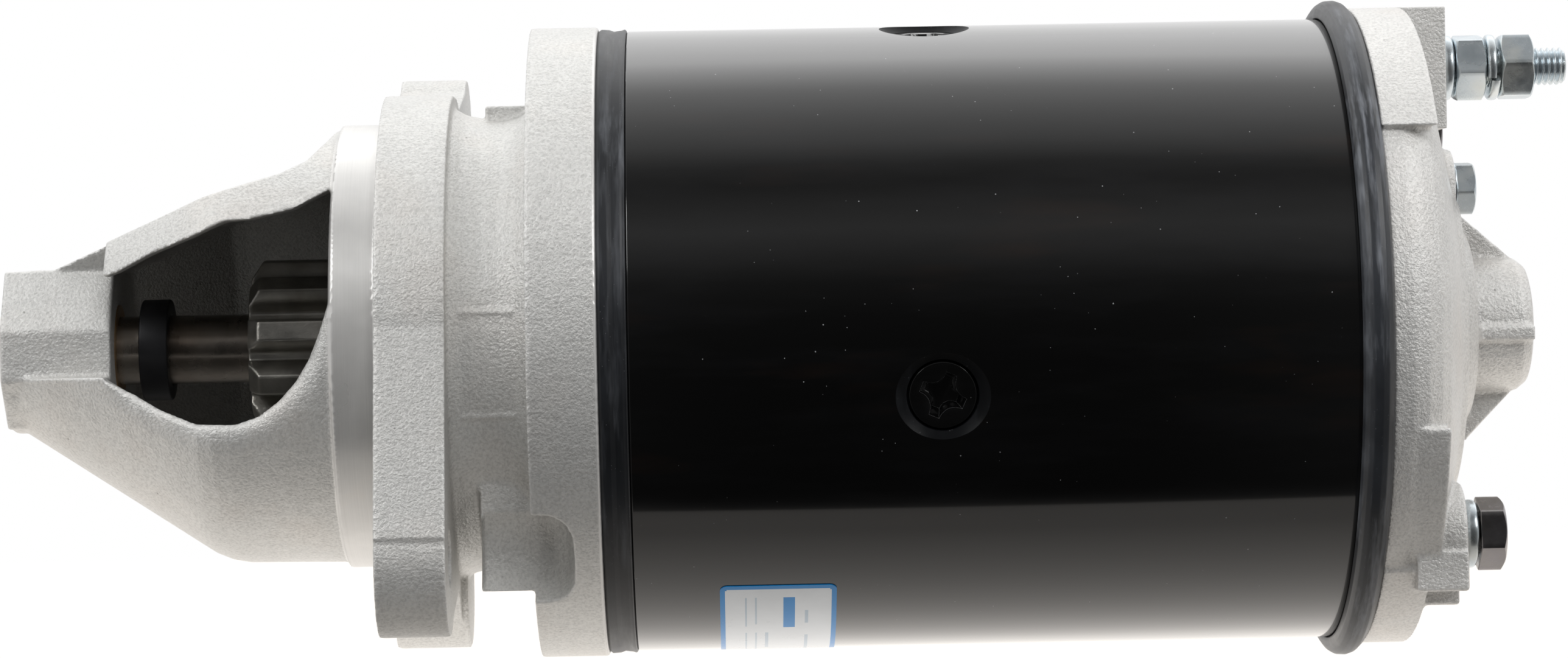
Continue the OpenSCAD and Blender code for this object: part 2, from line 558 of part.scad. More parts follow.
// ---- armature -------------------------------------------------------------------
module armature_shaft() color("gray") difference() {
  union() {
    xcyl(-75.8, 13, shaft_r);
    xcyl(13, 42, 8.2);
    keys(13.5, 41.5, 3, 9.6);
    xcyl(42, 72, 10);
    xcyl(71, 153, 11);
    xcyl(152, 192, 9.5);
    xcyl(191, 231, shaft_r);
  }
  xtube(-49.7, -47.8, 12, 6.4);
}
module armature_core() color("slategray") difference() {
  yzx(core_x0, core_x1) difference() {
    circle(r = 40.5, $fn = FN);
    circle(r = 11, $fn = 96);
    for (k = [0:26]) rotate(k * 360 / 27) translate([28, -1.9]) square([10.6, 3.8]);
    for (k = [0:26]) rotate(k * 360 / 27) translate([36, -0.9]) square([6, 1.8]);
  }
}
module armature_windings() color("chocolate") {
  yzx(59, com_x0) for (k = [0:26]) rotate(k * 360 / 27) translate([28.2, -1.75]) square([10.2, 3.5]);
  xtube(58.5, 70.5, 38.6, 24);
  xtube(153, com_x0, 37, 21.5);
}
module commutator() color("peru") difference() {
  union() {
    xcyl(com_x0, com_x1, 20.5);
    xcyl(com_x0, com_x0 + 3, 23.5);
  }
  xcyl(150, 200, 9.55);
  for (k = [0:26]) rotate([k * 360 / 27, 0, 0]) box([150, 19.5, -0.3], [200, 26, 0.3]);
}
module thrust_collar() color([0.12, 0.12, 0.12]) difference() {
  xrev([[0, -51.7], [collar_r - 0.5, -51.7], [collar_r, -51.2], [collar_r, -46.3], [collar_r - 0.5, -45.8], [0, -45.8]]);
  xcyl(-60, -40, shaft_r + 0.01);
  xcyl(-49.8, -47.7, 8.5);
}
module collar_ring() color("silver") xtube(-49.6, -47.9, 8.4, 6.45);

drive_end_bracket();
nose_bush();
front_seal_ring();
centre_bracket();
centre_bush();
yoke();
pole_shoes();
field_coils();
pole_screws();
rear_seal_ring();
commutator_end_bracket();
rear_bush();
brush_plate();
brush_holders();
brushes();
brush_springs();
through_bolts();
through_bolt_washers();
cover_bolts();
earth_stud();
earth_nuts();
earth_washers();
data_plate();
lead_grommet();
motor_lead();
lever_pivot_pin();
solenoid_case();
solenoid_winding();
solenoid_sleeve();
solenoid_core();
solenoid_cap();
solenoid_studs();
solenoid_nuts();
solenoid_spade();
solenoid_screws();
plunger();
plunger_pin();
plunger_spring();
contact_bridge();
engagement_lever();
engagement_collar();
drive_sleeve();
clutch_shell();
clutch_cover();
clutch_rollers();
meshing_spring();
pinion();
pinion_bush();
armature_shaft();
armature_core();
armature_windings();
commutator();
thrust_collar();
collar_ring();
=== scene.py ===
import bpy, bmesh, math, json
import numpy as np
from mathutils import Matrix, Vector

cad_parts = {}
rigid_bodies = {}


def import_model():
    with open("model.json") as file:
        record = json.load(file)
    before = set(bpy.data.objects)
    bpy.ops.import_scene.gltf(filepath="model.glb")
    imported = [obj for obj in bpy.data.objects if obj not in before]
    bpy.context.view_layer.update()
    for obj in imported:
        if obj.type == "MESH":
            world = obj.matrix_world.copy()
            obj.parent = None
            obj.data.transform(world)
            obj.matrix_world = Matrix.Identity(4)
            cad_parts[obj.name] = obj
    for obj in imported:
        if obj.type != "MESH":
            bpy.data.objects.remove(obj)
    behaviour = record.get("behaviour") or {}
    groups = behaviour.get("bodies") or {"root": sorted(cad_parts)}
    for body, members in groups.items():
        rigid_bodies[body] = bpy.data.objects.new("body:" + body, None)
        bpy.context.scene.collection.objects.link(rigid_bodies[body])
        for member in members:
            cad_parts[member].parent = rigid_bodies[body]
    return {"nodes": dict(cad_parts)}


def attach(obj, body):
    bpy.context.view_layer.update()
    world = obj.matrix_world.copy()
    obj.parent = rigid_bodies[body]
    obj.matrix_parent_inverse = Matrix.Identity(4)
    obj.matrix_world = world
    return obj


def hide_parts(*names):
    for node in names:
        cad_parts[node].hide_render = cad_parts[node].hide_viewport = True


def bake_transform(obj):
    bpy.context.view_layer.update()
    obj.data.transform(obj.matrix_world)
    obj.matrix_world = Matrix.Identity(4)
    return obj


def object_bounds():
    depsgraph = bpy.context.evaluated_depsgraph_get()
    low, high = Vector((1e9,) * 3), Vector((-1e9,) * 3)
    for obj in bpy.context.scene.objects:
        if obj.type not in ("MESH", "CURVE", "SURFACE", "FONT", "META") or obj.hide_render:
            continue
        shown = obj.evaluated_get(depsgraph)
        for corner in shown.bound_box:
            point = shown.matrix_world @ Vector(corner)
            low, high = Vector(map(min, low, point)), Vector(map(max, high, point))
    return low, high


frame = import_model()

cad_box = [list(map(float, c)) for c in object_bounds()]
N = frame["nodes"]
MM = 0.001

# ------------------------------------------------------------------ helpers
def link(ob):
    bpy.context.scene.collection.objects.link(ob)
    return ob

def mesh_obj(name, verts, faces, smooth=True, angle=35):
    """verts in millimetres"""
    me = bpy.data.meshes.new(name)
    me.from_pydata([tuple(float(c) * MM for c in v) for v in verts], [], faces)
    me.validate(clean_customdata=False)
    me.update()
    ob = link(bpy.data.objects.new(name, me))
    shade(ob, angle if smooth else None)
    return ob

def shade(ob, angle=35):
    me = ob.data
    if angle is None:
        me.polygons.foreach_set("use_smooth", [False] * len(me.polygons))
        return
    me.polygons.foreach_set("use_smooth", [True] * len(me.polygons))
    if angle < 180:
        me.set_sharp_from_angle(angle=math.radians(angle))
    me.update()

def lathe(name, prof, seg=160, y=0.0, z=0.0, closed=True, angle=35, start=0.0):
    """Solid of revolution about X through (y, z). prof: list of (x, r). closed: the profile is a loop, as for a ring."""
    verts, faces, ring = [], [], []
    for (x, r) in prof:
        if r < 1e-6:
            ring.append([len(verts)])
            verts.append((x, y, z))
        else:
            ring.append(list(range(len(verts), len(verts) + seg)))
            for k in range(seg):
                a = start + 2 * math.pi * k / seg
                verts.append((x, y - r * math.cos(a), z + r * math.sin(a)))
    n = len(prof)
    for i in range(n if closed else n - 1):
        A, B = ring[i], ring[(i + 1) % n]
        for k in range(seg):
            a0, a1 = A[k % len(A)], A[(k + 1) % len(A)]
            b0, b1 = B[k % len(B)], B[(k + 1) % len(B)]
            f = [a0, a1, b1, b0]
            g = []
            for v in f:
                if v not in g:
                    g.append(v)
            if len(g) >= 3:
                faces.append(g)
    ob = mesh_obj(name, verts, faces, angle=angle)
    fix_normals(ob)
    return ob

def fix_normals(ob):
    bm = bmesh.new()
    bm.from_mesh(ob.data)
    bmesh.ops.recalc_face_normals(bm, faces=bm.faces)
    bm.to_mesh(ob.data)
    bm.free()

def rounded(prof, r=0.4, n=4):
    """Rounds the corners of a closed (x, r) profile with small arcs."""
    P = [np.array(p, float) for p in prof]
    out = []
    m = len(P)
    for i in range(m):
        a, b, c = P[i - 1], P[i], P[(i + 1) % m]
        u, v = a - b, c - b
        lu, lv = np.linalg.norm(u), np.linalg.norm(v)
        if lu < 1e-9 or lv < 1e-9:
            continue
        u, v = u / lu, v / lv
        cosang = float(np.clip(np.dot(u, v), -1, 1))
        ang = math.acos(cosang)
        if ang > math.radians(172) or b[1] < 1e-6:
            out.append(tuple(b))
            continue
        d = min(r / math.tan(ang / 2), lu * 0.45, lv * 0.45)
        rr = d * math.tan(ang / 2)
        p0, p1 = b + u * d, b + v * d
        bis = (u + v) / np.linalg.norm(u + v)
        cc = b + bis * (rr / math.sin(ang / 2))
        a0 = math.atan2(*(p0 - cc)[::-1])
        a1 = math.atan2(*(p1 - cc)[::-1])
        da = (a1 - a0 + math.pi) % (2 * math.pi) - math.pi
        for k in range(n + 1):
            t = a0 + da * k / n
            out.append((cc[0] + rr * math.cos(t), cc[1] + rr * math.sin(t)))
    return out

def cad_arrays(names):
    vs, ps, off = [], [], 0
    for n in names:
        me = N[n].data
        co = np.zeros(len(me.vertices) * 3)
        me.vertices.foreach_get("co", co)
        co = co.reshape(-1, 3)
        vs.append(co)
        me.calc_loop_triangles()
        tri = np.zeros(len(me.loop_triangles) * 3, int)
        me.loop_triangles.foreach_get("vertices", tri)
        ps.append(tri.reshape(-1, 3) + off)
        off += len(co)
    return np.vstack(vs), np.vstack(ps)

def remesh(name, nodes, voxel, iters=8, adapt=0.0, post=None, lam=0.55, mu=-0.57, limit=True, angle=180):
    """A cast-looking copy of CAD nodes: voxel remesh, then smoothing that rounds the edges and keeps the size."""
    V, F = cad_arrays(nodes)
    lo, hi = V.min(0), V.max(0)
    me = bpy.data.meshes.new(name)
    me.from_pydata(V.tolist(), [], F.tolist())
    me.update()
    bm = bmesh.new(); bm.from_mesh(me)
    bmesh.ops.remove_doubles(bm, verts=bm.verts, dist=2e-6)
    bm.to_mesh(me); bm.free()
    ob = link(bpy.data.objects.new(name, me))
    md = ob.modifiers.new("r", "REMESH")
    md.mode = "VOXEL"; md.voxel_size = voxel * MM * 1.0; md.adaptivity = adapt
    dg = bpy.context.evaluated_depsgraph_get()
    new = bpy.data.meshes.new_from_object(ob.evaluated_get(dg))
    ob.modifiers.clear()
    old = ob.data
    ob.data = new
    bpy.data.meshes.remove(old)
    new.name = name
    nv = len(new.vertices)
    co = np.zeros(nv * 3); new.vertices.foreach_get("co", co); co = co.reshape(-1, 3)
    ed = np.zeros(len(new.edges) * 2, int); new.edges.foreach_get("vertices", ed); ed = ed.reshape(-1, 2)
    deg = np.bincount(ed.ravel(), minlength=nv).astype(float)[:, None]
    def lap(c):
        s = np.zeros_like(c)
        for k in range(3):
            s[:, k] = np.bincount(ed[:, 0], weights=c[ed[:, 1], k], minlength=nv) + np.bincount(ed[:, 1], weights=c[ed[:, 0], k], minlength=nv)
        return s / deg - c
    for _ in range(iters):
        co = co + lam * lap(co)
        co = co + mu * lap(co)
    if post is not None:
        co = post(co, lap)
    if limit:
        co = np.clip(co, lo, hi)
    new.vertices.foreach_set("co", co.ravel())
    new.update()
    shade(ob, angle)
    ob.data.materials.clear()
    return ob

def hex_piece(name, x0, x1, af, y, z, rot, bore=0.0, c0=False, c1=True, flange=None, cham=30, seg=96):
    """Hexagon nut or head along X with turned chamfers and slightly softened corners. rot in degrees."""
    rc = af / 2 / math.cos(math.radians(30))
    rch = af / 2 * 0.975
    ta = math.tan(math.radians(cham))
    ths = [2 * math.pi * k / seg for k in range(seg)]
    def Rh(t):
        m = (math.degrees(t) + 30) % 60 - 30
        r = af / 2 / math.cos(math.radians(m))
        return min(r, rc * 0.988)
    rows = []
    def row(f):
        rows.append([f(t) for t in ths])
    if bore > 0:
        row(lambda t: (x0 + 0.5, bore)); row(lambda t: (x0, bore + 0.5))
    else:
        row(lambda t: (x0, 0.05))
    if c0:
        row(lambda t: (x0, rch - 0.15)); row(lambda t: (x0 + 0.05, rch))
        row(lambda t: (x0 + 0.05 + max(0.02, (Rh(t) - rch) * ta), Rh(t) - 0.06)); row(lambda t: (x0 + 0.12 + max(0.02, (Rh(t) - rch) * ta), Rh(t)))
    else:
        row(lambda t: (x0, Rh(t) - 0.15)); row(lambda t: (x0 + 0.15, Rh(t)))
    if c1:
        row(lambda t: (x1 - 0.12 - max(0.02, (Rh(t) - rch) * ta), Rh(t))); row(lambda t: (x1 - 0.05 - max(0.02, (Rh(t) - rch) * ta), Rh(t) - 0.06))
        row(lambda t: (x1 - 0.05, rch)); row(lambda t: (x1, rch - 0.15))
    else:
        row(lambda t: (x1 - 0.15, Rh(t))); row(lambda t: (x1, Rh(t) - 0.15))
    if bore > 0:
        row(lambda t: (x1, bore + 0.5)); row(lambda t: (x1 - 0.5, bore))
    else:
        row(lambda t: (x1, 0.05))
    verts = []
    a0 = math.radians(rot)
    for r in rows:
        for t, (x, rad) in zip(ths, r):
            # corner of the CAD hexagon at rot from -Z side: same phase as rotate([a,0,0]) rotate([0,90,0])
            verts.append((x, y - rad * math.sin(t + a0), z + rad * math.cos(t + a0)))
    faces = []
    n = len(rows)
    for i in range(n if bore > 0 else n - 1):
        j = (i + 1) % n
        for k in range(seg):
            l = (k + 1) % seg
            faces.append([i * seg + k, i * seg + l, j * seg + l, j * seg + k])
    if bore <= 0:
        faces.append(list(range(seg))[::-1]); faces.append([(n - 1) * seg + k for k in range(seg)])
    ob = mesh_obj(name, verts, faces, angle=28)
    fix_normals(ob)
    return ob

def threaded(name, x0, x1, r, pitch, y, z, plain=None, seg=48, depth=None):
    """Stud with a real helical thread between x0 and x1 and chamfered ends. plain: (x0, x1) stretch left plain."""
    d = depth or pitch * 0.56
    nx = max(8, int((x1 - x0) / (pitch / 10)))
    xs = np.linspace(x0, x1, nx + 1)
    verts, faces = [], []
    for x in xs:
        for k in range(seg):
            a = 2 * math.pi * k / seg
            ph = ((x - x0) / pitch - k / seg) % 1.0
            tri = abs(2 * ph - 1)                      # 1 at crest, 0 at root
            prof = min(1.0, max(0.0, (tri - 0.10) / 0.76))
            rr = r - d * (1 - prof)
            if plain and plain[0] <= x <= plain[1]:
                rr = r
            e = min(x - x0, x1 - x)
            rr = min(rr, r - d * 1.15 + max(0.0, e) * 1.0)
            verts.append((x, y - rr * math.cos(a), z + rr * math.sin(a)))
    for i in range(nx):
        for k in range(seg):
            l = (k + 1) % seg
            faces.append([i * seg + k, i * seg + l, (i + 1) * seg + l, (i + 1) * seg + k])
    faces.append(list(range(seg))[::-1]); faces.append([nx * seg + k for k in range(seg)])
    ob = mesh_obj(name, verts, faces, angle=60)
    fix_normals(ob)
    return ob

def spring_washer(name, x0, x1, ri, ro, y, z, gap_deg, wide=0.85, rise=0.8, seg=120, round_=0.9):
    """Split lock washer: a rounded section swept round the axis, its two ends stepping apart by rise."""
    rm, hr = (ri + ro) / 2, (ro - ri) / 2
    th = (x1 - x0) - rise
    ns = 20
    verts, faces = [], []
    g = math.radians(5)
    for i in range(seg + 1):
        t = i / seg
        a = math.radians(gap_deg) + g / 2 + t * (2 * math.pi - g)
        xc = x0 + th / 2 + rise * t
        for k in range(ns):
            p = 2 * math.pi * k / ns
            c, s = math.cos(p), math.sin(p)
            q = 0.62
            ex = math.copysign(abs(c) ** q, c) * th / 2
            er = math.copysign(abs(s) ** q, s) * hr
            r = rm + er
            verts.append((xc + ex, y - r * math.cos(a), z + r * math.sin(a)))
    for i in range(seg):
        for k in range(ns):
            l = (k + 1) % ns
            faces.append([i * ns + k, i * ns + l, (i + 1) * ns + l, (i + 1) * ns + k])
    faces.append(list(range(ns))[::-1]); faces.append([seg * ns + k for k in range(ns)])
    ob = mesh_obj(name, verts, faces, angle=50)
    fix_normals(ob)
    return ob

def helix(name, x0, x1, r, w, turns, y=0.0, z=0.0, seg=40, ns=12, flat_ends=0.8):
    """Coil spring along X with closed end turns."""
    total = turns
    n = int(total * seg)
    verts, faces = [], []
    for i in range(n + 1):
        t = i / n
        a = 2 * math.pi * total * t
        # slow start and end so that the end turns lie flat
        k = flat_ends / total
        if t < k: u = 0.5 * t * t / k
        elif t > 1 - k: u = (1 - k) - 0.5 * (1 - t) ** 2 / k
        else: u = t - 0.5 * k
        u = u / (1 - k)
        x = x0 + w + (x1 - x0 - 2 * w) * u
        for m in range(ns):
            p = 2 * math.pi * m / ns
            rr = r + w * math.cos(p)
            verts.append((x + w * math.sin(p), y - rr * math.cos(a), z + rr * math.sin(a)))
    for i in range(n):
        for m in range(ns):
            l = (m + 1) % ns
            faces.append([i * ns + m, i * ns + l, (i + 1) * ns + l, (i + 1) * ns + m])
    faces.append(list(range(ns))[::-1]); faces.append([n * ns + k for k in range(ns)])
    ob = mesh_obj(name, verts, faces, angle=60)
    fix_normals(ob)
    return ob

def join(name, obs):
    """Joins meshes into one object, keeping each one's material."""
    mats, verts, faces, mi, off, sm = [], [], [], [], 0, []
    bm = bmesh.new()
    for o in obs:
        for m in o.data.materials:
            if m not in mats:
                mats.append(m)
    me = bpy.data.meshes.new(name)
    for m in mats:
        me.materials.append(m)
    for o in obs:
        idx = [mats.index(m) for m in o.data.materials] or [0]
        for p in o.data.polygons:
            p.material_index = idx[min(p.material_index, len(idx) - 1)]
        bm.from_mesh(o.data)
    bm.to_mesh(me); bm.free()
    ob = link(bpy.data.objects.new(name, me))
    for o in obs:
        bpy.data.objects.remove(o)
    return ob

def put(ob, mat, body, *nodes, slot=None):
    if mat is not None:
        ob.data.materials.clear(); ob.data.materials.append(mat)
    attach(ob, body)
    if nodes:
        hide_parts(*nodes)
    return ob

# ------------------------------------------------------------------ materials
def new_mat(name):
    m = bpy.data.materials.new(name)
    m.use_nodes = True
    nt = m.node_tree
    nt.nodes.clear()
    out = nt.nodes.new("ShaderNodeOutputMaterial")
    b = nt.nodes.new("ShaderNodeBsdfPrincipled")
    nt.links.new(b.outputs[0], out.inputs[0])
    return m, nt, b

class G:
    """Short node-graph builder."""
    def __init__(self, nt):
        self.nt = nt
        tc = nt.nodes.new("ShaderNodeTexCoord")
        self.obj = tc.outputs["Object"]
    def _in(self, sock, v):
        if hasattr(v, "is_linked") or isinstance(v, bpy.types.NodeSocket):
            self.nt.links.new(v, sock)
        elif v is not None:
            sock.default_value = v
    def mapping(self, scale=(1, 1, 1), loc=(0, 0, 0), rot=(0, 0, 0), src=None):
        n = self.nt.nodes.new("ShaderNodeMapping")
        self.nt.links.new(src or self.obj, n.inputs[0])
        n.inputs["Scale"].default_value = scale
        n.inputs["Location"].default_value = loc
        n.inputs["Rotation"].default_value = rot
        return n.outputs[0]
    def noise(self, scale, detail=3, rough=0.55, dist=0.0, vec=None, color=False):
        n = self.nt.nodes.new("ShaderNodeTexNoise")
        self._in(n.inputs["Vector"], vec or self.obj)
        n.inputs["Scale"].default_value = scale
        n.inputs["Detail"].default_value = detail
        n.inputs["Roughness"].default_value = rough
        n.inputs["Distortion"].default_value = dist
        return n.outputs["Color" if color else "Fac"]
    def voronoi(self, scale, vec=None, feature="F1", rand=1.0, out="Distance"):
        n = self.nt.nodes.new("ShaderNodeTexVoronoi")
        n.feature = feature
        self._in(n.inputs["Vector"], vec or self.obj)
        n.inputs["Scale"].default_value = scale
        n.inputs["Randomness"].default_value = rand
        return n.outputs[out]
    def math(self, op, a, b=None, c=None, clamp=False):
        n = self.nt.nodes.new("ShaderNodeMath")
        n.operation = op; n.use_clamp = clamp
        self._in(n.inputs[0], a)
        if b is not None: self._in(n.inputs[1], b)
        if c is not None: self._in(n.inputs[2], c)
        return n.outputs[0]
    def ramp(self, fac, stops, interp="LINEAR"):
        n = self.nt.nodes.new("ShaderNodeValToRGB")
        n.color_ramp.interpolation = interp
        el = n.color_ramp.elements
        while len(el) > 1:
            el.remove(el[-1])
        for i, (p, c) in enumerate(stops):
            if i == 0:
                e = el[0]; e.position = p
            else:
                e = el.new(p)
            if not isinstance(c, (tuple, list)):
                c = (c, c, c)
            e.color = (*c[:3], 1)
        self._in(n.inputs[0], fac)
        return n.outputs[0]
    def remap(self, v, a, b, c, d):
        n = self.nt.nodes.new("ShaderNodeMapRange")
        self._in(n.inputs[0], v)
        for i, x in enumerate((a, b, c, d)):
            n.inputs[i + 1].default_value = x
        n.clamp = True
        return n.outputs[0]
    def mix(self, fac, a, b, mode="MIX"):
        n = self.nt.nodes.new("ShaderNodeMix")
        n.data_type = "RGBA"; n.blend_type = mode
        self._in(n.inputs[0], fac)
        def col(v):
            return (*v, 1) if isinstance(v, tuple) and len(v) == 3 else v
        self._in(n.inputs[6], col(a)); self._in(n.inputs[7], col(b))
        return n.outputs[2]
    def sep(self, vec=None):
        n = self.nt.nodes.new("ShaderNodeSeparateXYZ")
        self.nt.links.new(vec or self.obj, n.inputs[0])
        return n.outputs
    def normal(self):
        n = self.nt.nodes.new("ShaderNodeNewGeometry")
        return n
    def bump(self, height, strength=0.3, dist=0.0003, normal=None):
        n = self.nt.nodes.new("ShaderNodeBump")
        n.inputs["Strength"].default_value = strength
        n.inputs["Distance"].default_value = dist
        self._in(n.inputs["Height"], height)
        if normal is not None: self.nt.links.new(normal, n.inputs["Normal"])
        return n.outputs[0]
    def pointiness(self):
        n = self.nt.nodes.new("ShaderNodeNewGeometry")
        return n.outputs["Pointiness"]

def cast_aluminium(name, base=(0.71, 0.705, 0.685), grain=1.0):
    m, nt, b = new_mat(name)
    g = G(nt)
    big = g.noise(24, 4, 0.6)
    mid = g.noise(420, 3, 0.6)
    fine = g.noise(1700, 3, 0.6)
    col = g.ramp(big, [(0.30, tuple(c * 0.90 for c in base)), (0.55, base), (0.75, tuple(min(1, c * 1.08) for c in base))])
    warm = g.ramp(g.noise(52, 3, 0.5), [(0.50, 0.0), (0.74, 1.0)])
    col = g.mix(g.math("MULTIPLY", warm, 0.16), col, (0.66, 0.56, 0.48))
    col = g.mix(0.55, col, g.mix(1.0, col, g.ramp(fine, [(0.36, 0.74), (0.50, 1.0), (0.66, 1.16)]), "MULTIPLY"))
    # scattered dark pits and smudges of the casting
    pit = g.ramp(g.voronoi(300), [(0.0, 1.0), (0.05, 1.0), (0.09, 0.0)])
    pit = g.math("MULTIPLY", pit, g.ramp(g.noise(120, 2, 0.5), [(0.58, 0.0), (0.66, 1.0)]))
    col = g.mix(g.math("MULTIPLY", pit, 0.5), col, (0.16, 0.15, 0.14))
    edge = g.ramp(g.pointiness(), [(0.515, 0.0), (0.56, 1.0)])
    col = g.mix(g.math("MULTIPLY", edge, 0.35), col, (0.86, 0.855, 0.84))
    # painted shade: concave creases and hollows are darkened in the base colour
    cavity_painted_shade = g.ramp(g.pointiness(), [(0.43, 1.0), (0.485, 0.0)])
    col = g.mix(g.math("MULTIPLY", cavity_painted_shade, 0.30), col, (0.30, 0.285, 0.26))
    nt.links.new(col, b.inputs["Base Color"])
    b.inputs["Metallic"].default_value = 0.55
    nt.links.new(g.ramp(mid, [(0.3, 0.36), (0.7, 0.46)]), b.inputs["Roughness"])
    h = g.math("ADD", g.math("MULTIPLY", fine, 1.0), g.math("MULTIPLY", mid, 0.55))
    h = g.math("SUBTRACT", h, g.math("MULTIPLY", pit, 0.8))
    nt.links.new(g.bump(h, min(1.0, 0.55 * grain), 0.0005), b.inputs["Normal"])
    return m

def machined_aluminium(name, base=(0.80, 0.79, 0.77)):
    """Turned surface: fine grooves run round the X axis."""
    m, nt, b = new_mat(name)
    g = G(nt)
    s = g.sep()
    lines = g.noise(1.0, 4, 0.75, vec=g.mapping(scale=(9000, 40, 40)))
    patch = g.noise(45, 4, 0.6)
    col = g.ramp(patch, [(0.32, tuple(c * 0.88 for c in base)), (0.6, base), (0.8, (0.86, 0.82, 0.76))])
    col = g.mix(0.35, col, g.mix(1.0, col, g.ramp(lines, [(0.3, 0.82), (0.7, 1.08)]), "MULTIPLY"))
    nt.links.new(col, b.inputs["Base Color"])
    b.inputs["Metallic"].default_value = 0.6
    nt.links.new(g.ramp(patch, [(0.3, 0.26), (0.7, 0.40)]), b.inputs["Roughness"])
    b.inputs["Anisotropic"].default_value = 0.35
    nt.links.new(g.bump(lines, 0.22, 0.0001), b.inputs["Normal"])
    return m

def steel(name, base, rough=(0.25, 0.4), metal=1.0, scale=160, tint=None, bump=0.08, oil=0.0, lines=None):
    m, nt, b = new_mat(name)
    g = G(nt)
    n1 = g.noise(scale, 4, 0.6)
    n2 = g.noise(scale * 9, 3, 0.6)
    col = g.ramp(n1, [(0.30, tuple(c * 0.78 for c in base)), (0.55, base), (0.78, tuple(min(1, c * 1.18) for c in base))])
    if tint:
        t = g.ramp(g.noise(scale * 0.45, 3, 0.55), [(0.45, 0.0), (0.68, 1.0)])
        col = g.mix(g.math("MULTIPLY", t, 0.55), col, tint)
    edge = g.ramp(g.pointiness(), [(0.50, 0.0), (0.58, 1.0)])
    col = g.mix(g.math("MULTIPLY", edge, 0.35), col, tuple(min(1, c * 1.7 + 0.08) for c in base))
    nt.links.new(col, b.inputs["Base Color"])
    b.inputs["Metallic"].default_value = metal
    nt.links.new(g.ramp(n1, [(0.3, rough[0]), (0.7, rough[1])]), b.inputs["Roughness"])
    h = n2
    if lines:
        h = g.math("ADD", g.math("MULTIPLY", n2, 0.4), g.noise(1.0, 3, 0.7, vec=g.mapping(scale=lines)))
    nt.links.new(g.bump(h, bump, 0.0002), b.inputs["Normal"])
    if oil:
        b.inputs["Coat Weight"].default_value = oil
        b.inputs["Coat Roughness"].default_value = 0.12
    return m

def zinc(name):
    m, nt, b = new_mat(name)
    g = G(nt)
    n1 = g.noise(180, 4, 0.6)
    col = g.ramp(n1, [(0.30, (0.52, 0.57, 0.60)), (0.52, (0.70, 0.75, 0.77)), (0.75, (0.80, 0.83, 0.83))])
    film = g.ramp(g.noise(90, 2, 0.5), [(0.45, (0.66, 0.74, 0.80)), (0.60, (0.74, 0.76, 0.72)), (0.75, (0.72, 0.74, 0.80))])
    col = g.mix(0.45, col, film)
    spots = g.ramp(g.voronoi(420), [(0.0, 1.0), (0.05, 0.8), (0.11, 0.0)])
    col = g.mix(g.math("MULTIPLY", spots, 0.18), col, (0.30, 0.31, 0.32))
    nt.links.new(col, b.inputs["Base Color"])
    b.inputs["Metallic"].default_value = 0.95
    nt.links.new(g.ramp(n1, [(0.3, 0.20), (0.7, 0.34)]), b.inputs["Roughness"])
    nt.links.new(g.bump(g.noise(900, 3, 0.6), 0.10, 0.0001), b.inputs["Normal"])
    return m

def gloss_paint(name):
    m, nt, b = new_mat(name)
    g = G(nt)
    # dust specks and faint smears on black enamel
    sp1 = g.ramp(g.voronoi(430), [(0.0, 1.0), (0.026, 1.0), (0.048, 0.0)])
    mk1 = g.ramp(g.noise(60, 2, 0.5), [(0.53, 0.0), (0.62, 1.0)])
    sp2 = g.ramp(g.voronoi(210, vec=g.mapping(loc=(0.3, 0.1, 0.7))), [(0.0, 1.0), (0.020, 1.0), (0.034, 0.0)])
    specks = g.math("MAXIMUM", g.math("MULTIPLY", sp1, mk1), g.math("MULTIPLY", sp2, 0.8))
    smear = g.noise(1.0, 4, 0.6, vec=g.mapping(scale=(22, 120, 120)))
    col = g.mix(g.ramp(smear, [(0.45, 0.0), (0.8, 0.6)]), (0.0012, 0.0012, 0.0012), (0.0045, 0.0045, 0.005))
    brown = g.ramp(g.noise(1.0, 3, 0.6, vec=g.mapping(scale=(18, 90, 90), loc=(5, 2, 1))), [(0.58, 0.0), (0.78, 0.5)])
    col = g.mix(brown, col, (0.010, 0.005, 0.003))
    col = g.mix(g.math("MULTIPLY", specks, 0.75), col, (0.42, 0.43, 0.44))
    nt.links.new(col, b.inputs["Base Color"])
    r = g.ramp(smear, [(0.35, 0.12), (0.75, 0.20)])
    r = g.math("ADD", r, g.math("MULTIPLY", specks, 0.4))
    nt.links.new(r, b.inputs["Roughness"])
    h = g.math("ADD", g.math("MULTIPLY", g.noise(150, 3, 0.5), 0.6), g.math("MULTIPLY", g.noise(1500, 2, 0.5), 0.05))
    h = g.math("ADD", h, g.math("MULTIPLY", specks, 0.35))
    nt.links.new(g.bump(h, 0.045, 0.0004), b.inputs["Normal"])
    b.inputs["Coat Weight"].default_value = 1.0
    b.inputs["Coat Roughness"].default_value = 0.07
    b.inputs["Coat IOR"].default_value = 1.5
    return m

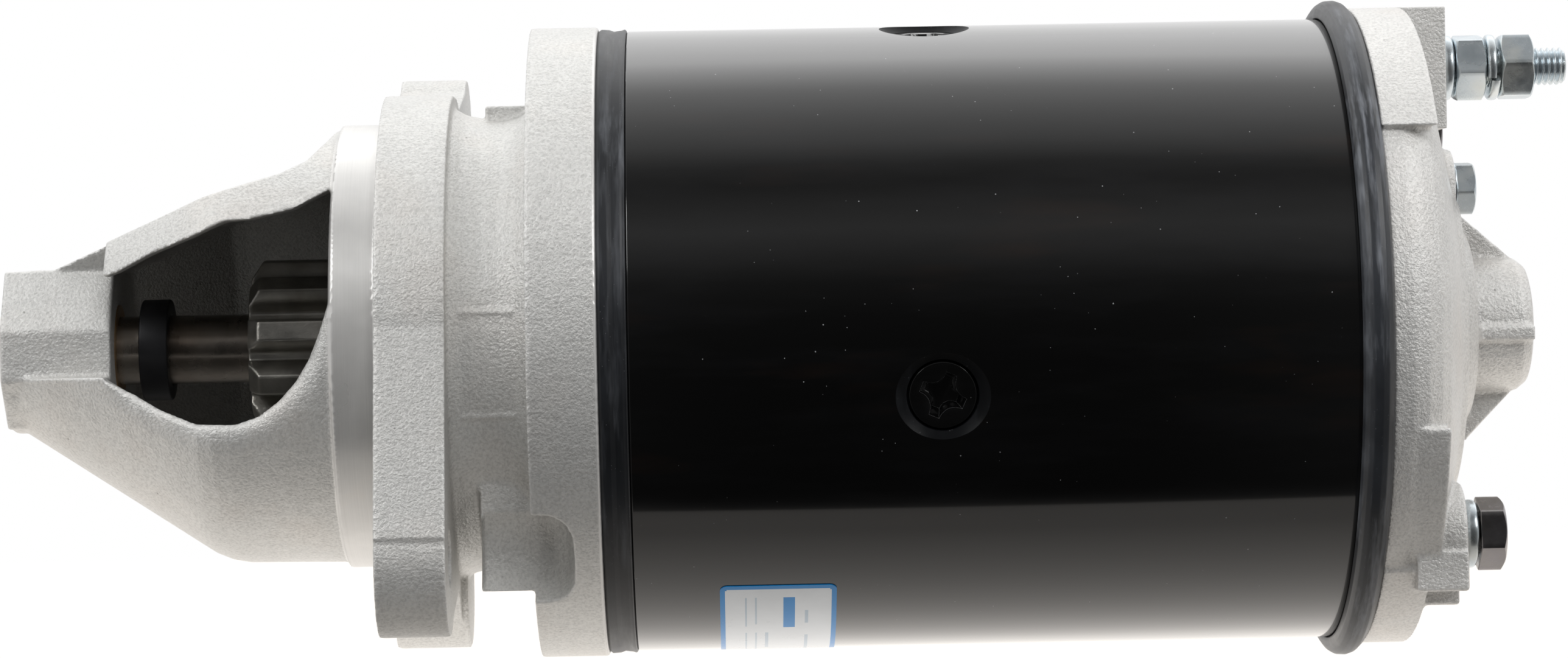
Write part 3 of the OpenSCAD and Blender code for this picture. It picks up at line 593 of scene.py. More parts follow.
def rubber(name, scuff=0.5, k=1.0):
    m, nt, b = new_mat(name)
    g = G(nt)
    n1 = g.noise(50, 4, 0.6)
    streak = g.noise(1.0, 4, 0.65, vec=g.mapping(scale=(420, 45, 45)))
    col = g.ramp(n1, [(0.3, (0.014 * k, 0.015 * k, 0.017 * k)), (0.7, (0.034 * k, 0.037 * k, 0.043 * k))])
    sc = g.math("MULTIPLY", g.ramp(streak, [(0.48, 0.0), (0.72, 1.0)]), g.ramp(g.noise(34, 3, 0.6), [(0.42, 0.0), (0.66, 1.0)]))
    col = g.mix(g.math("MULTIPLY", sc, scuff), col, (0.36, 0.38, 0.42))
    dust = g.ramp(g.voronoi(900), [(0.0, 1.0), (0.05, 0.7), (0.09, 0.0)])
    col = g.mix(g.math("MULTIPLY", dust, 0.22), col, (0.4, 0.4, 0.42))
    nt.links.new(col, b.inputs["Base Color"])
    nt.links.new(g.ramp(streak, [(0.3, 0.28), (0.7, 0.46)]), b.inputs["Roughness"])
    h = g.math("ADD", g.math("MULTIPLY", streak, 0.6), g.math("MULTIPLY", g.noise(700, 3, 0.6), 0.5))
    nt.links.new(g.bump(h, 0.16, 0.0002), b.inputs["Normal"])
    return m

def plain(name, base, rough=(0.35, 0.5), metal=0.0, scale=120, var=0.2, bump=0.1, bscale=900, coat=0.0):
    m, nt, b = new_mat(name)
    g = G(nt)
    n = g.noise(scale, 4, 0.6)
    col = g.ramp(n, [(0.3, tuple(c * (1 - var) for c in base)), (0.7, tuple(min(1, c * (1 + var)) for c in base))])
    nt.links.new(col, b.inputs["Base Color"])
    b.inputs["Metallic"].default_value = metal
    nt.links.new(g.ramp(n, [(0.3, rough[0]), (0.7, rough[1])]), b.inputs["Roughness"])
    nt.links.new(g.bump(g.noise(bscale, 3, 0.6), bump, 0.0002), b.inputs["Normal"])
    if coat:
        b.inputs["Coat Weight"].default_value = coat
    return m

M_CAST = cast_aluminium("cast_aluminium")
# painted highlight: mid grey for the bevelled edges of the pole screw heads and cross recesses
M_PAINTED_EDGE_HIGHLIGHT = plain("painted_highlight_edge", (0.20, 0.20, 0.205), (0.4, 0.5))
# painted shade: a near-black matte material with weak specular, put on the countersink seats so they read dark without
# reflections
M_PAINTED_SEAT_SHADE = rubber("painted_shade_seat", 0.05, 0.12)
for n in M_PAINTED_SEAT_SHADE.node_tree.nodes:
    if n.type == "BSDF_PRINCIPLED": n.inputs["Specular IOR Level"].default_value = 0.10
M_CAST2 = cast_aluminium("cast_aluminium_end", base=(0.73, 0.72, 0.70), grain=1.2)
M_MACH = machined_aluminium("turned_aluminium")
M_PAINT = gloss_paint("black_enamel")
M_RUB = rubber("black_rubber", 0.22, 0.55)
M_RUB2 = rubber("black_rubber_scuffed", 0.55, 0.9)
M_ZINC = zinc("zinc_plate")
M_DARK = steel("dark_steel", (0.24, 0.23, 0.225), (0.24, 0.42), scale=140, tint=(0.30, 0.25, 0.22), oil=0.2)
M_PIN = steel("pinion_steel", (0.46, 0.445, 0.41), (0.32, 0.46), scale=190, tint=(0.22, 0.20, 0.16), bump=0.22)
M_COL = plain("black_oxide", (0.022, 0.022, 0.024), (0.34, 0.46), metal=0.6, bump=0.08)
M_SHAFT = steel("oiled_shaft", (0.30, 0.265, 0.23), (0.20, 0.36), scale=120, tint=(0.16, 0.10, 0.06), bump=0.18, oil=0.5, lines=(9000, 60, 60))
M_SPRING = steel("spring_wire", (0.30, 0.31, 0.33), (0.25, 0.35))
M_BRONZE = steel("oiled_bronze", (0.42, 0.26, 0.12), (0.35, 0.5), scale=300, bump=0.15, oil=0.3)
M_COPPER = steel("bare_copper", (0.70, 0.36, 0.22), (0.25, 0.38), scale=220, tint=(0.45, 0.22, 0.14))
M_TAPE = plain("varnished_tape", (0.20, 0.10, 0.045), (0.4, 0.6), bump=0.4, bscale=700, coat=0.3)
M_CORE = steel("laminated_core", (0.26, 0.27, 0.29), (0.35, 0.5), lines=(4000, 5, 5), bump=0.4)
M_CARB = plain("carbon", (0.035, 0.033, 0.032), (0.5, 0.65), bump=0.2)
M_YZINC = steel("yellow_zinc", (0.58, 0.50, 0.28), (0.28, 0.42), scale=90, tint=(0.62, 0.60, 0.44))
M_MOULD = plain("black_moulding", (0.020, 0.020, 0.022), (0.38, 0.52), bump=0.14, bscale=1400)
M_SATIN = plain("satin_black_paint", (0.016, 0.016, 0.018), (0.30, 0.42), bump=0.10, bscale=900)
M_TIN = steel("tin_plate", (0.66, 0.66, 0.63), (0.2, 0.32))

def setmat(node, mat):
    ob = N[node]
    if not ob.data.materials:
        ob.data.materials.append(mat)
    for i in range(len(ob.material_slots)):
        ob.material_slots[i].link = "OBJECT"
        ob.material_slots[i].material = mat

CADMAT = {
    "nose_bush": M_BRONZE, "centre_bush": M_BRONZE, "rear_bush": M_BRONZE, "pinion_bush": M_BRONZE, "solenoid_sleeve": M_BRONZE,
    "centre_bracket": M_DARK, "pole_shoes": M_CORE, "field_coils": M_TAPE, "armature_core": M_CORE, "armature_windings": M_TAPE,
    "commutator": M_COPPER, "brush_plate": M_YZINC, "brush_holders": M_YZINC, "brushes": M_CARB, "brush_springs": M_SPRING,
    "collar_ring": M_SPRING, "solenoid_winding": M_TAPE, "solenoid_core": M_CORE, "plunger": M_CORE, "plunger_pin": M_ZINC,
    "contact_bridge": M_COPPER, "engagement_lever": M_DARK, "engagement_collar": M_DARK, "drive_sleeve": M_DARK,
    "clutch_shell": M_DARK, "clutch_cover": M_DARK, "clutch_rollers": M_TIN, "lever_pivot_pin": M_ZINC,
    "armature_shaft": M_SHAFT, "lead_grommet": M_RUB, "motor_lead": M_COPPER,
}
for k, v in CADMAT.items():
    setmat(k, v)

# ------------------------------------------------------------------ camera
cam_d = bpy.data.cameras.new("camera")
cam = link(bpy.data.objects.new("camera", cam_d))
R = Vector((0.99971, -0.014702, -0.019097)); U = Vector((0.019099, 0.0, 0.999818)); B = Vector((-0.014699, -0.999892, 0.000281))
cam.matrix_world = Matrix(((R.x, U.x, B.x, 0.068203), (R.y, U.y, B.y, -0.926133), (R.z, U.z, B.z, 0.002155), (0, 0, 0, 1)))
cam_d.sensor_fit = "HORIZONTAL"
cam_d.sensor_width = 36.0
cam_d.lens = 7276.09 * 36.0 / 2576.0
cam_d.clip_start = 0.01
cam_d.clip_end = 20
bpy.context.scene.camera = cam

# ------------------------------------------------------------------ pieces
# Drive end bracket: cast body, with its turned spigot kept true
def de_post(co, lap):
    c = co.copy()
    x, y, z = c[:, 0] / MM, c[:, 1] / MM, c[:, 2] / MM
    r = np.hypot(y, z)
    sp = (x > -9.0) & (x < -0.35) & (r > 44.6)
    s = np.where(sp, 46.04 / np.maximum(r, 1e-6), 1.0)
    c[:, 1] *= s; c[:, 2] *= s
    # parting lines left by the mould
    def ridge(v, at, w):
        return np.exp(-((v - at) / w) ** 2)
    out = np.where((x > 14.6) & (x < 30.2) & (r > 46.3) & (r < 47.7) & (y < 0), 0.30 * (ridge(z, 6.4, 0.55) + ridge(z, -14.4, 0.55)), 0.0)
    out += np.where((x > 31.2) & (x < 43.8) & (r > 65.0) & (y < 0), 0.0 * z, 0.0)
    s = 1 + out / np.maximum(r, 1e-6)
    c[:, 1] *= s; c[:, 2] *= s
    # the lip under the side window rolls inwards to the opening
    lip = [(-56.6, -5.6), (-50.7, -9.0), (-44.6, -12.6), (-37, -15.6), (-29, -15.9), (-24, -14.2), (-20, -11.2), (-16.4, -7.2), (-13.6, -2.5), (-11.4, 3), (-9.4, 9)]
    m = np.nonzero((y < -8) & (x > -57) & (x < -9.5) & (z < 12) & (z > -24))[0]
    px, pz = x[m], z[m]
    dist = np.full(len(m), 99.0)
    for (x0, q0), (x1, q1) in zip(lip[:-1], lip[1:]):
        ux, uz = x1 - x0, q1 - q0
        t = np.clip(((px - x0) * ux + (pz - q0) * uz) / (ux * ux + uz * uz), 0, 1)
        dist = np.minimum(dist, np.hypot(px - x0 - t * ux, pz - q0 - t * uz))
    wl = 5.0
    u = np.clip(1 - dist / wl, 0, 0.985)
    amt = 2.7 * (1 - np.sqrt(1 - u * u))
    rout = np.interp(px, [-79.2, -76, -36.8, -33.4, -30, -9.4], [16.0, 16.9, 42.6, 44.0, 44.6, 44.9])
    rm = np.hypot(y[m], z[m])
    amt *= np.clip(1 - (rout - rm) / 3.8, 0, 1) * np.clip((px + 56.2) / 6, 0, 1) * np.clip((-9.6 - px) / 3, 0, 1)
    sc = 1 - amt / np.maximum(rm, 1e-6)
    c[m, 1] *= sc; c[m, 2] *= sc
    return c
de = remesh("drive_end_bracket_cast", ["drive_end_bracket"], 0.5, 7, post=de_post)
de.data.materials.append(M_CAST); de.data.materials.append(M_MACH)
cc = np.zeros(len(de.data.polygons) * 3); de.data.polygons.foreach_get("center", cc); cc = cc.reshape(-1, 3) / MM
rr = np.hypot(cc[:, 1], cc[:, 2])
turned = (cc[:, 0] > -9.6) & (cc[:, 0] < -0.2) & (rr > 43.5)
turned |= (np.abs(cc[:, 0] - 44.4) < 0.5) & (rr > 50)
de.data.polygons.foreach_set("material_index", turned.astype(np.int32))
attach(de, "housing"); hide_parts("drive_end_bracket")

ce = remesh("commutator_end_bracket_cast", ["commutator_end_bracket"], 0.5, 7)
put(ce, M_CAST2, "housing", "commutator_end_bracket", slot="cast_aluminium")

# Yoke tube: turned ends, countersunk pole screw seats
def boolean_cut(ob, cutter):
    md = ob.modifiers.new("b", "BOOLEAN")
    md.operation = "DIFFERENCE"; md.solver = "EXACT"; md.object = cutter
    dg = bpy.context.evaluated_depsgraph_get()
    new = bpy.data.meshes.new_from_object(ob.evaluated_get(dg))
    ob.modifiers.clear()
    old = ob.data; ob.data = new; bpy.data.meshes.remove(old)
    bpy.data.objects.remove(cutter)

yk = lathe("yoke_tube", rounded([(50.2, 59.5), (50.2, 64.5), (194.4, 64.5), (194.4, 59.5)], 0.5, 3), seg=256)
POLE = [10.6 - 90 * k for k in range(4)]
def pole_dir(k):
    a = math.radians(POLE[k])
    return Vector((0, -math.cos(a), -math.sin(a)))
for k in range(4):
    prof = [(-1.0, 0.0), (-1.0, 10.4), (0.35, 8.95), (0.8, 8.4), (1.5, 7.15), (2.9, 6.9), (4.2, 5.2), (9, 5.2), (9, 0)]
    cut = lathe("cut", prof, seg=64, closed=True)
    # the lathe runs along +X: turn it to point inwards at the pole
    d = pole_dir(k)
    q = Vector((1, 0, 0)).rotation_difference(-d).to_matrix().to_4x4()
    cut.data.transform(Matrix.Translation(Vector((0.1117, 0, 0)) + d * 0.0645) @ q)
    fix_normals(cut)
    boolean_cut(yk, cut)
cut = lathe("cut", [(-10, 0), (-10, 8), (10, 8), (10, 0)], seg=64)
cut.data.transform(Matrix.Translation(Vector((0.1645, 0.0625, -0.012))) @ Vector((1, 0, 0)).rotation_difference(Vector((0, 1, 0))).to_matrix().to_4x4())
fix_normals(cut)
boolean_cut(yk, cut)
shade(yk, 30)
put(yk, M_PAINT, "housing", "yoke", slot="yoke_paint")
# painted shade: the countersink faces round the pole screws get the matte near-black seat material
yk.data.materials.append(M_PAINTED_SEAT_SHADE)
for pl in yk.data.polygons:
    c = pl.center
    rad = Vector((0, c.y, c.z)).normalized()
    if pl.normal.dot(rad) < 0.985:
        for k in range(4):
            d = pole_dir(k)
            v = Vector((c.x - 0.1117, c.y, c.z))
            if (v - d * v.dot(d)).length < 0.0103 and v.dot(d) > 0:
                pl.material_index = 1

# Pole screws with a cross recess
def pole_screw(k):
    prof = rounded([(0.0, 0.0), (0.0, 6.5), (0.25, 6.75), (1.9, 4.9), (15.2, 4.85), (15.2, 0.0)], 0.18, 3)
    ob = lathe("ps", prof, seg=72, angle=30)
    # recess: four-armed star with hollowed sides, tapering down
    pts = []
    for i in range(4):
        a = i * math.pi / 2
        for (r, t) in ((4.5, -1.05), (4.5, 1.05)):
            pts.append((r * math.cos(a) - t * math.sin(a), r * math.sin(a) + t * math.cos(a)))
        for j in range(1, 6):
            u = j / 6
            b0 = (4.5 * math.cos(a) - 1.05 * math.sin(a), 4.5 * math.sin(a) + 1.05 * math.cos(a))
            a2 = a + math.pi / 2
            b1 = (4.5 * math.cos(a2) + 1.05 * math.sin(a2), 4.5 * math.sin(a2) - 1.05 * math.cos(a2))
            m_ = (1.75 * math.cos(a + math.pi / 4), 1.75 * math.sin(a + math.pi / 4))
            p = tuple((1 - u) ** 2 * b0[q] + 2 * u * (1 - u) * m_[q] + u * u * b1[q] for q in (0, 1))
            pts.append(p)
    n = len(pts)
    verts = [(-0.5, p[0] * 1.05, p[1] * 1.05) for p in pts] + [(1.6, p[0] * 0.90, p[1] * 0.90) for p in pts] + [(3.2, p[0] * 0.72, p[1] * 0.72) for p in pts]
    faces = [list(range(n))] + [[i + n * r, (i + 1) % n + n * r, (i + 1) % n + n * (r + 1), i + n * (r + 1)] for r in (0, 1) for i in range(n)] + [[2 * n + i for i in range(n)][::-1]]
    cut = mesh_obj("cut", verts, faces, angle=30)
    cut.data.transform(Matrix.Rotation(math.radians(34 + 20 * k), 4, "X"))
    fix_normals(cut)
    boolean_cut(ob, cut)
    ob.data.materials.clear(); ob.data.materials.append(M_PAINT); ob.data.materials.append(M_PAINTED_EDGE_HIGHLIGHT)
    for pl in ob.data.polygons: pl.material_index = 0
    # painted highlight: the bevels on sharp edges get the lighter grey edge material
    md = ob.modifiers.new("bv", "BEVEL"); md.width = 0.00016; md.segments = 2; md.material = 1; md.limit_method = "ANGLE"; md.angle_limit = math.radians(40)
    new = bpy.data.meshes.new_from_object(ob.evaluated_get(bpy.context.evaluated_depsgraph_get()))
    ob.modifiers.clear()
    old = ob.data; ob.data = new; bpy.data.meshes.remove(old)
    d = pole_dir(k)
    q = Vector((1, 0, 0)).rotation_difference(-d).to_matrix().to_4x4()
    ob.data.transform(Matrix.Translation(Vector((0.1117, 0, 0)) + d * (0.0645 - 0.00150)) @ q)
    shade(ob, 30)
    ids = [pl.material_index for pl in ob.data.polygons]
    ob.data.materials.clear(); ob.data.materials.append(M_PAINT); ob.data.materials.append(M_PAINTED_EDGE_HIGHLIGHT)
    for pl, k2 in zip(ob.data.polygons, ids): pl.material_index = k2
    return ob
put(join("pole_screws_set", [pole_screw(k) for k in range(4)]), None, "housing", "pole_screws", slot="dark_steel")

# Rubber rings
fr = lathe("front_ring", rounded([(44.4, 59.7), (44.4, 64.5), (45.0, 65.0), (46.6, 64.9), (47.6, 64.55), (49.2, 64.75), (49.9, 65.0), (50.2, 64.6), (50.2, 59.7)], 0.3, 4), seg=200, angle=60)
put(fr, M_RUB, "housing", "front_seal_ring", slot="black_rubber")
rrp = [(194.4, 59.7), (194.4, 64.62), (193.72, 64.62), (193.6, 65.4), (193.9, 66.6), (194.6, 67.6), (195.6, 68.2), (197.2, 68.3), (198.4, 67.9), (199.4, 66.9), (199.9, 65.9), (199.9, 59.7)]
rg = lathe("rear_ring", rounded(rrp, 0.9, 4), seg=220, angle=60)
put(rg, M_RUB2, "housing", "rear_seal_ring", slot="black_rubber")

# Shaft collar, pinion
tc = lathe("stop_collar", rounded([(-51.7, 7.11), (-51.7, 10.5), (-45.8, 10.5), (-45.8, 7.11)], 0.45, 4), seg=96, angle=40)
put(tc, M_COL, "armature", "thrust_collar", slot="collar_black")
pn = remesh("pinion_gear", ["pinion"], 0.30, 4)
put(pn, M_PIN, "pinion", "pinion", slot="pinion_steel")

# Fasteners at the commutator end
SY, SZ = 18.0, 54.9
st = threaded("earth_stud_thread", 201.0, 249.7, 3.98, 1.25, SY, SZ)
put(st, M_ZINC, "housing", "earth_stud", slot="zinc_steel")
n1 = hex_piece("n1", 225.8, 232.3, 13, SY, SZ, 12, bore=3.97, c0=True, c1=True)
n2 = hex_piece("n2", 235.5, 242.5, 13, SY, SZ, -4, bore=3.97, c0=True, c1=True)
put(join("earth_nuts_pair", [n1, n2]), M_ZINC, "housing", "earth_nuts", slot="zinc_steel")
w1 = spring_washer("w1", 222.8, 225.7, 4.1, 6.9, SY, SZ, 150, rise=0.5)
w2 = spring_washer("w2", 232.4, 235.4, 4.1, 7.0, SY, SZ, -25, rise=0.9)
put(join("earth_washers_pair", [w1, w2]), M_ZINC, "housing", "earth_washers", slot="zinc_steel")
M_HEAD = steel("blued_head", (0.26, 0.245, 0.24), (0.16, 0.30), scale=170, tint=(0.24, 0.22, 0.28), oil=0.3)
obs = []
for s in (1, -1):
    h = hex_piece("h", 220.1, 225.4, 13, s * 35, s * 42, 21, c0=False, c1=True)
    k = lathe("k", [(40.4, 0), (40.4, 3.2), (40.8, 3.5), (220.3, 3.5), (220.3, 0)], seg=40, y=s * 35, z=s * 42)
    for o in (h, k):
        o.data.materials.append(M_HEAD)
    obs += [h, k]
put(join("through_bolts_pair", obs), None, "housing", "through_bolts", slot="dark_steel")
obs = [spring_washer("w", 217.0, 220.0, 4.1, 6.9, s * 35, s * 42, 200, rise=0.4) for s in (1, -1)]
put(join("through_bolt_washers_pair", obs), M_ZINC, "housing", "through_bolt_washers", slot="zinc_steel")
obs = []
for s in (1, -1):
    y, z = -s * 22, s * 28
    obs.append(hex_piece("h", 218.95, 222.9, 10, y, z, 8, c0=False, c1=True))
    obs.append(lathe("f", rounded([(218.2, 0), (218.2, 5.6), (219.0, 5.6), (219.05, 0)], 0.25, 3), seg=64, y=y, z=z))
    obs.append(lathe("s", [(191.3, 0), (191.3, 2.2), (191.6, 2.45), (219, 2.45), (219, 0)], seg=32, y=y, z=z))
put(join("cover_bolts_pair", obs), M_ZINC, "housing", "cover_bolts", slot="zinc_steel")

# Data plate: white film, blue border, blank ruled fields
M_WHITE = plain("film_white", (0.80, 0.84, 0.88), (0.25, 0.35), var=0.04, bump=0.03, coat=0.3)
M_BLUE = plain("film_blue", (0.012, 0.26, 0.66), (0.25, 0.35), var=0.06, bump=0.03, coat=0.3)
M_PALE = plain("film_grey", (0.50, 0.60, 0.70), (0.25, 0.35), var=0.05, bump=0.03, coat=0.3)
def plate():
    x0, x1, r = 67.4, 90.8, 64.70
    a0, a1 = math.radians(49.7), math.radians(111.2)      # down from -Y
    L = (a1 - a0) * r
    W = x1 - x0
    nx, na = 70, 190
    rad, bw = 1.5, 1.1
    verts, faces, mats = [], [], []
    idx = {}
    def inside(u, v, inset):
        w, l, q = W - 2 * inset, L - 2 * inset, max(0.3, rad - inset * 0.6)
        uu, vv = u - inset, v - inset
        if uu < 0 or vv < 0 or uu > w or vv > l: return False
        cu = min(max(uu, q), w - q); cv = min(max(vv, q), l - q)
        return (uu - cu) ** 2 + (vv - cv) ** 2 <= q * q + 1e-9
    # rows follow the outline: each row of points is squeezed to the rounded outline's width
    us = [W * i / nx for i in range(nx + 1)]
    vs = [L * j / na for j in range(na + 1)]
    def pos(u, v, rr):
        # pull corner points onto the rounded corner
        cu = min(max(u, rad), W - rad); cv = min(max(v, rad), L - rad)
        du, dv = u - cu, v - cv
        d = math.hypot(du, dv)
        if d > rad:
            u, v = cu + du * rad / d, cv + dv * rad / d
        a = a0 + v / r
        return (x0 + u, -rr * math.cos(a), -rr * math.sin(a))
    n = (nx + 1) * (na + 1)
    for rr in (r, 64.52):
        for v in vs:
            for u in us:
                verts.append(pos(u, v, rr))
    I = lambda i, j, s: s * n + j * (nx + 1) + i
    for j in range(na):
        for i in range(nx):
            faces.append([I(i, j, 0), I(i + 1, j, 0), I(i + 1, j + 1, 0), I(i, j + 1, 0)])
            u, v = (us[i] + us[i + 1]) / 2, (vs[j] + vs[j + 1]) / 2
            k = 0
            if not inside(u, v, bw): k = 1
            else:
                # blank ruled fields, no lettering
                if 4.2 < v < 17.0 and 12.6 < u < 15.0: k = 1
                for q, l0, l1 in ((7.2, 4.2, 15.4), (5.2, 4.2, 16.4), (17.4, 9.0, 15.0), (9.4, 20, 34), (7.2, 20, 42), (5.2, 20, 38), (17.4, 22, 40)):
                    if l0 < v < l1 and abs(u - q) < 0.30: k = 2
            mats.append(k)
    ring = [(i, 0) for i in range(nx)] + [(nx, j) for j in range(na)] + [(i, na) for i in range(nx, 0, -1)] + [(0, j) for j in range(na, 0, -1)]
    for q in range(len(ring)):
        (i, j), (i2, j2) = ring[q], ring[(q + 1) % len(ring)]
        faces.append([I(i, j, 0), I(i, j, 1), I(i2, j2, 1), I(i2, j2, 0)]); mats.append(1)
    ob = mesh_obj("data_plate_film", verts, faces, angle=40)
    for m in (M_WHITE, M_BLUE, M_PALE):
        ob.data.materials.append(m)
    ob.data.polygons.foreach_set("material_index", mats)
    return ob
put(plate(), None, "housing", "data_plate", slot="label_white")

# Solenoid: case with a rolled edge, moulded cap, studs and nuts
scase = remesh("solenoid_case_shell", ["solenoid_case"], 0.6, 5)
put(scase, M_SATIN, "housing", "solenoid_case", slot="case_paint")
scap = remesh("solenoid_cap_moulding", ["solenoid_cap"], 0.45, 5)
put(scap, M_MOULD, "housing", "solenoid_cap", slot="moulding_black")
obs = []
for (y, z, xe) in ((90, -12, 176), (104, 12, 182)):
    o = threaded("t", 140.5, xe, 4.96, 1.5, y, z); o.data.materials.append(M_COPPER); obs.append(o)
    o = lathe("h", [(137, 0), (137, 7), (140.6, 7), (140.6, 0)], seg=48, y=y, z=z); o.data.materials.append(M_COPPER); obs.append(o)
put(join("solenoid_studs_pair", obs), None, "housing", "solenoid_studs", slot="copper")
obs = []
for (y, z, xn) in ((90, -12, 165.6), (104, 12, 166.5)):
    obs.append(hex_piece("n", 158.1, 163.4, 16, y, z, 15, bore=4.95, c0=True, c1=True))
    obs.append(hex_piece("n", xn, xn + 6, 16, y, z, -10, bore=4.95, c0=True, c1=True))
put(join("solenoid_nuts_set", obs), M_ZINC, "housing", "solenoid_nuts", slot="zinc_steel")
obs = []
for s in (1, -1):
    obs.append(hex_piece("h", 48.6, 53, 10, 97, s * 38, 10, c0=False, c1=True))
    obs.append(threaded("t", 34, 48.8, 2.96, 1.0, 97, s * 38))
put(join("solenoid_screws_pair", obs), M_ZINC, "housing", "solenoid_screws", slot="zinc_steel")
put(remesh("spade_blade", ["solenoid_spade"], 0.2, 3), M_TIN, "housing", "solenoid_spade", slot="tinned_steel")
rs = helix("return_spring", 60.15, 96.85, 6.3, 0.9, 10, 97, 0)
rs.data.materials.clear(); rs.data.materials.append(M_SPRING)
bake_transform(rs)
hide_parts("plunger_spring")
put(helix("meshing_spring_coil", 19.7, 30.35, 14.4, 1.1, 4.5), M_SPRING, "clutch", "meshing_spring", slot="spring_steel")

# ------------------------------------------------------------------ floor and light
def emit_mat(name, color, strength, diffuse=0.0):
    m = bpy.data.materials.new(name); m.use_nodes = True
    nt = m.node_tree; nt.nodes.clear()
    out = nt.nodes.new("ShaderNodeOutputMaterial")
    e = nt.nodes.new("ShaderNodeEmission")
    e.inputs[0].default_value = (*color, 1); e.inputs[1].default_value = strength
    if diffuse > 0:
        d = nt.nodes.new("ShaderNodeBsdfDiffuse"); d.inputs[0].default_value = (diffuse, diffuse, diffuse, 1)
        a = nt.nodes.new("ShaderNodeAddShader")
        nt.links.new(e.outputs[0], a.inputs[0]); nt.links.new(d.outputs[0], a.inputs[1]); nt.links.new(a.outputs[0], out.inputs[0])
    else:
        nt.links.new(e.outputs[0], out.inputs[0])
    return m

z0 = cad_box[0][2] - 0.0005
me = bpy.data.meshes.new("floor")
me.from_pydata([(-0.60, -0.071, z0), (0.80, -0.071, z0), (0.80, 0.50, z0), (-0.60, 0.50, z0)], [], [[0, 1, 2, 3]])
me.update()
fl = link(bpy.data.objects.new("floor", me))
fmat = emit_mat("floor_white", (1.0, 0.955, 0.905), 1.125)
fl.data.materials.append(fmat)
# the table falls off into shade at its front edge, as the glossy tube reflects it
fn = fmat.node_tree; em = [n for n in fn.nodes if n.type == "EMISSION"][0]
ftc = fn.nodes.new("ShaderNodeTexCoord"); fsp = fn.nodes.new("ShaderNodeSeparateXYZ"); fmr = fn.nodes.new("ShaderNodeMapRange")
fn.links.new(ftc.outputs["Object"], fsp.inputs[0]); fn.links.new(fsp.outputs[1], fmr.inputs[0])
fmr.inputs[1].default_value = -0.060; fmr.inputs[2].default_value = -0.004
fmr.inputs[3].default_value = 0.38; fmr.inputs[4].default_value = 1.125
flp = fn.nodes.new("ShaderNodeLightPath"); fmx = fn.nodes.new("ShaderNodeMath"); fmx.operation = "MAXIMUM"
fsc = fn.nodes.new("ShaderNodeMath"); fsc.operation = "MULTIPLY"; fsc.inputs[1].default_value = 1.125
fn.links.new(flp.outputs["Is Camera Ray"], fsc.inputs[0])
fn.links.new(fmr.outputs[0], fmx.inputs[0]); fn.links.new(fsc.outputs[0], fmx.inputs[1])
fn.links.new(fmx.outputs[0], em.inputs[1])

def area(name, loc, target, size, energy, color=(1, 1, 1), sy=None, spec=1.0, spread=180):
    d = bpy.data.lights.new(name, "AREA")
    d.shape = "RECTANGLE"; d.size = size; d.size_y = sy or size
    d.energy = energy; d.color = color; d.specular_factor = spec
    d.spread = math.radians(spread)
    o = link(bpy.data.objects.new(name, d))
    o.location = loc
    o.rotation_euler = (Vector(target) - Vector(loc)).to_track_quat("-Z", "Y").to_euler()
    return o

# Studio surroundings: brightness by the angle round the X axis, from the camera side (0) up over the top (90)
# to the back (180), and below the table line as negative angles
LEVELS = [(-180, 0.85), (-150, 0.80), (-120, 0.72), (-104, 0.50), (-84, 0.12), (-66, 0.045), (-60, 0.015), (-30, 0.018), (-10, 0.018), (8, 0.03), (20, 0.06),
          (30, 0.15), (40, 0.25), (50, 0.18), (58, 0.11), (66, 0.17), (76, 0.45), (90, 0.72), (104, 1.0), (112, 1.35), (124, 1.75), (136, 1.45), (150, 1.1), (165, 0.9), (180, 0.85)]
w = bpy.context.scene.world or bpy.data.worlds.new("world")
bpy.context.scene.world = w
w.use_nodes = True
nt = w.node_tree
nt.nodes.clear()
wo = nt.nodes.new("ShaderNodeOutputWorld"); bg = nt.nodes.new("ShaderNodeBackground")
nt.links.new(bg.outputs[0], wo.inputs[0])
tc = nt.nodes.new("ShaderNodeTexCoord"); sp = nt.nodes.new("ShaderNodeSeparateXYZ")
nt.links.new(tc.outputs["Generated"], sp.inputs[0])
def wmath(op, a, b=None):
    n = nt.nodes.new("ShaderNodeMath"); n.operation = op
    for k, v in ((0, a), (1, b)):
        if v is None: continue
        if isinstance(v, (int, float)): n.inputs[k].default_value = v
        else: nt.links.new(v, n.inputs[k])
    return n.outputs[0]
ang = wmath("ARCTAN2", sp.outputs[2], wmath("MULTIPLY", sp.outputs[1], -1.0))
fac = wmath("ADD", wmath("DIVIDE", ang, 2 * math.pi), 0.5)
rp = nt.nodes.new("ShaderNodeValToRGB")
els = rp.color_ramp.elements
TOP = 2.5
pts = [((a + 180) / 360, v / TOP) for a, v in LEVELS]
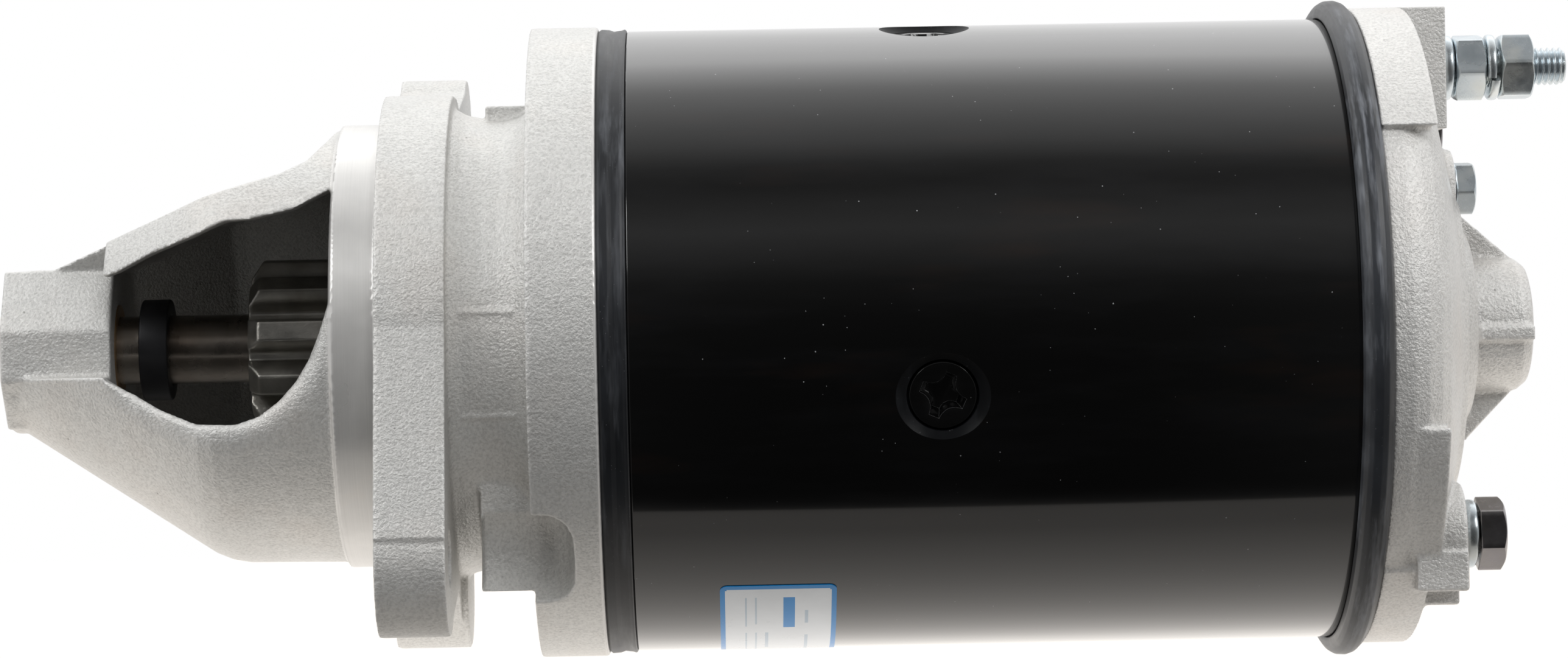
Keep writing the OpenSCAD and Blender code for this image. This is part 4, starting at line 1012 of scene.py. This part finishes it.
els[0].position, els[0].color = pts[0][0], (pts[0][1],) * 3 + (1,)
els[1].position, els[1].color = pts[-1][0], (pts[-1][1],) * 3 + (1,)
for (q, v) in pts[1:-1]:
    e = els.new(q); e.color = (v, v, v, 1)
nt.links.new(fac, rp.inputs[0])
# the two ends of the room are dimmer than its middle
endd = wmath("POWER", wmath("ABSOLUTE", sp.outputs[0]), 2.0)
side = wmath("SUBTRACT", 1.0, wmath("MULTIPLY", endd, 0.15))
mx = nt.nodes.new("ShaderNodeMix"); mx.data_type = "RGBA"; mx.blend_type = "MIX"
nt.links.new(wmath("MULTIPLY", wmath("POWER", wmath("ABSOLUTE", sp.outputs[0]), 3.0), 0.85), mx.inputs[0])
nt.links.new(rp.outputs[0], mx.inputs[6]); mx.inputs[7].default_value = (0.20, 0.20, 0.20, 1)
nt.links.new(mx.outputs[2], bg.inputs[0])
bg.inputs[1].default_value = TOP
# the backdrop itself is plain white from every side
bw = nt.nodes.new("ShaderNodeBackground"); bw.inputs[0].default_value = (1, 1, 1, 1); bw.inputs[1].default_value = 1.0
lp = nt.nodes.new("ShaderNodeLightPath"); mxs = nt.nodes.new("ShaderNodeMixShader")
nt.links.new(lp.outputs["Is Camera Ray"], mxs.inputs[0])
nt.links.new(bg.outputs[0], mxs.inputs[1]); nt.links.new(bw.outputs[0], mxs.inputs[2])
nt.links.new(mxs.outputs[0], wo.inputs[0])
try:
    w.cycles.sampling_method = "AUTOMATIC"
except Exception:
    pass
key = area("soft_key", (0.08, -0.72, 0.66), (0.08, 0, 0), 0.50, 8.0)
area("nose_light", (-0.55, -0.50, 0.50), (-0.04, 0, 0), 0.35, 1.6)
area("end_light", (0.75, -0.45, 0.45), (0.22, 0, 0), 0.35, 1.6)
for o in bpy.data.objects:
    if o.type == "LIGHT" and o.name.startswith("soft_key"): o.visible_glossy = False
bpy.context.scene.view_settings.view_transform = "Standard"
bpy.context.scene.view_settings.look = "None"
bpy.context.scene.view_settings.exposure = 0.0
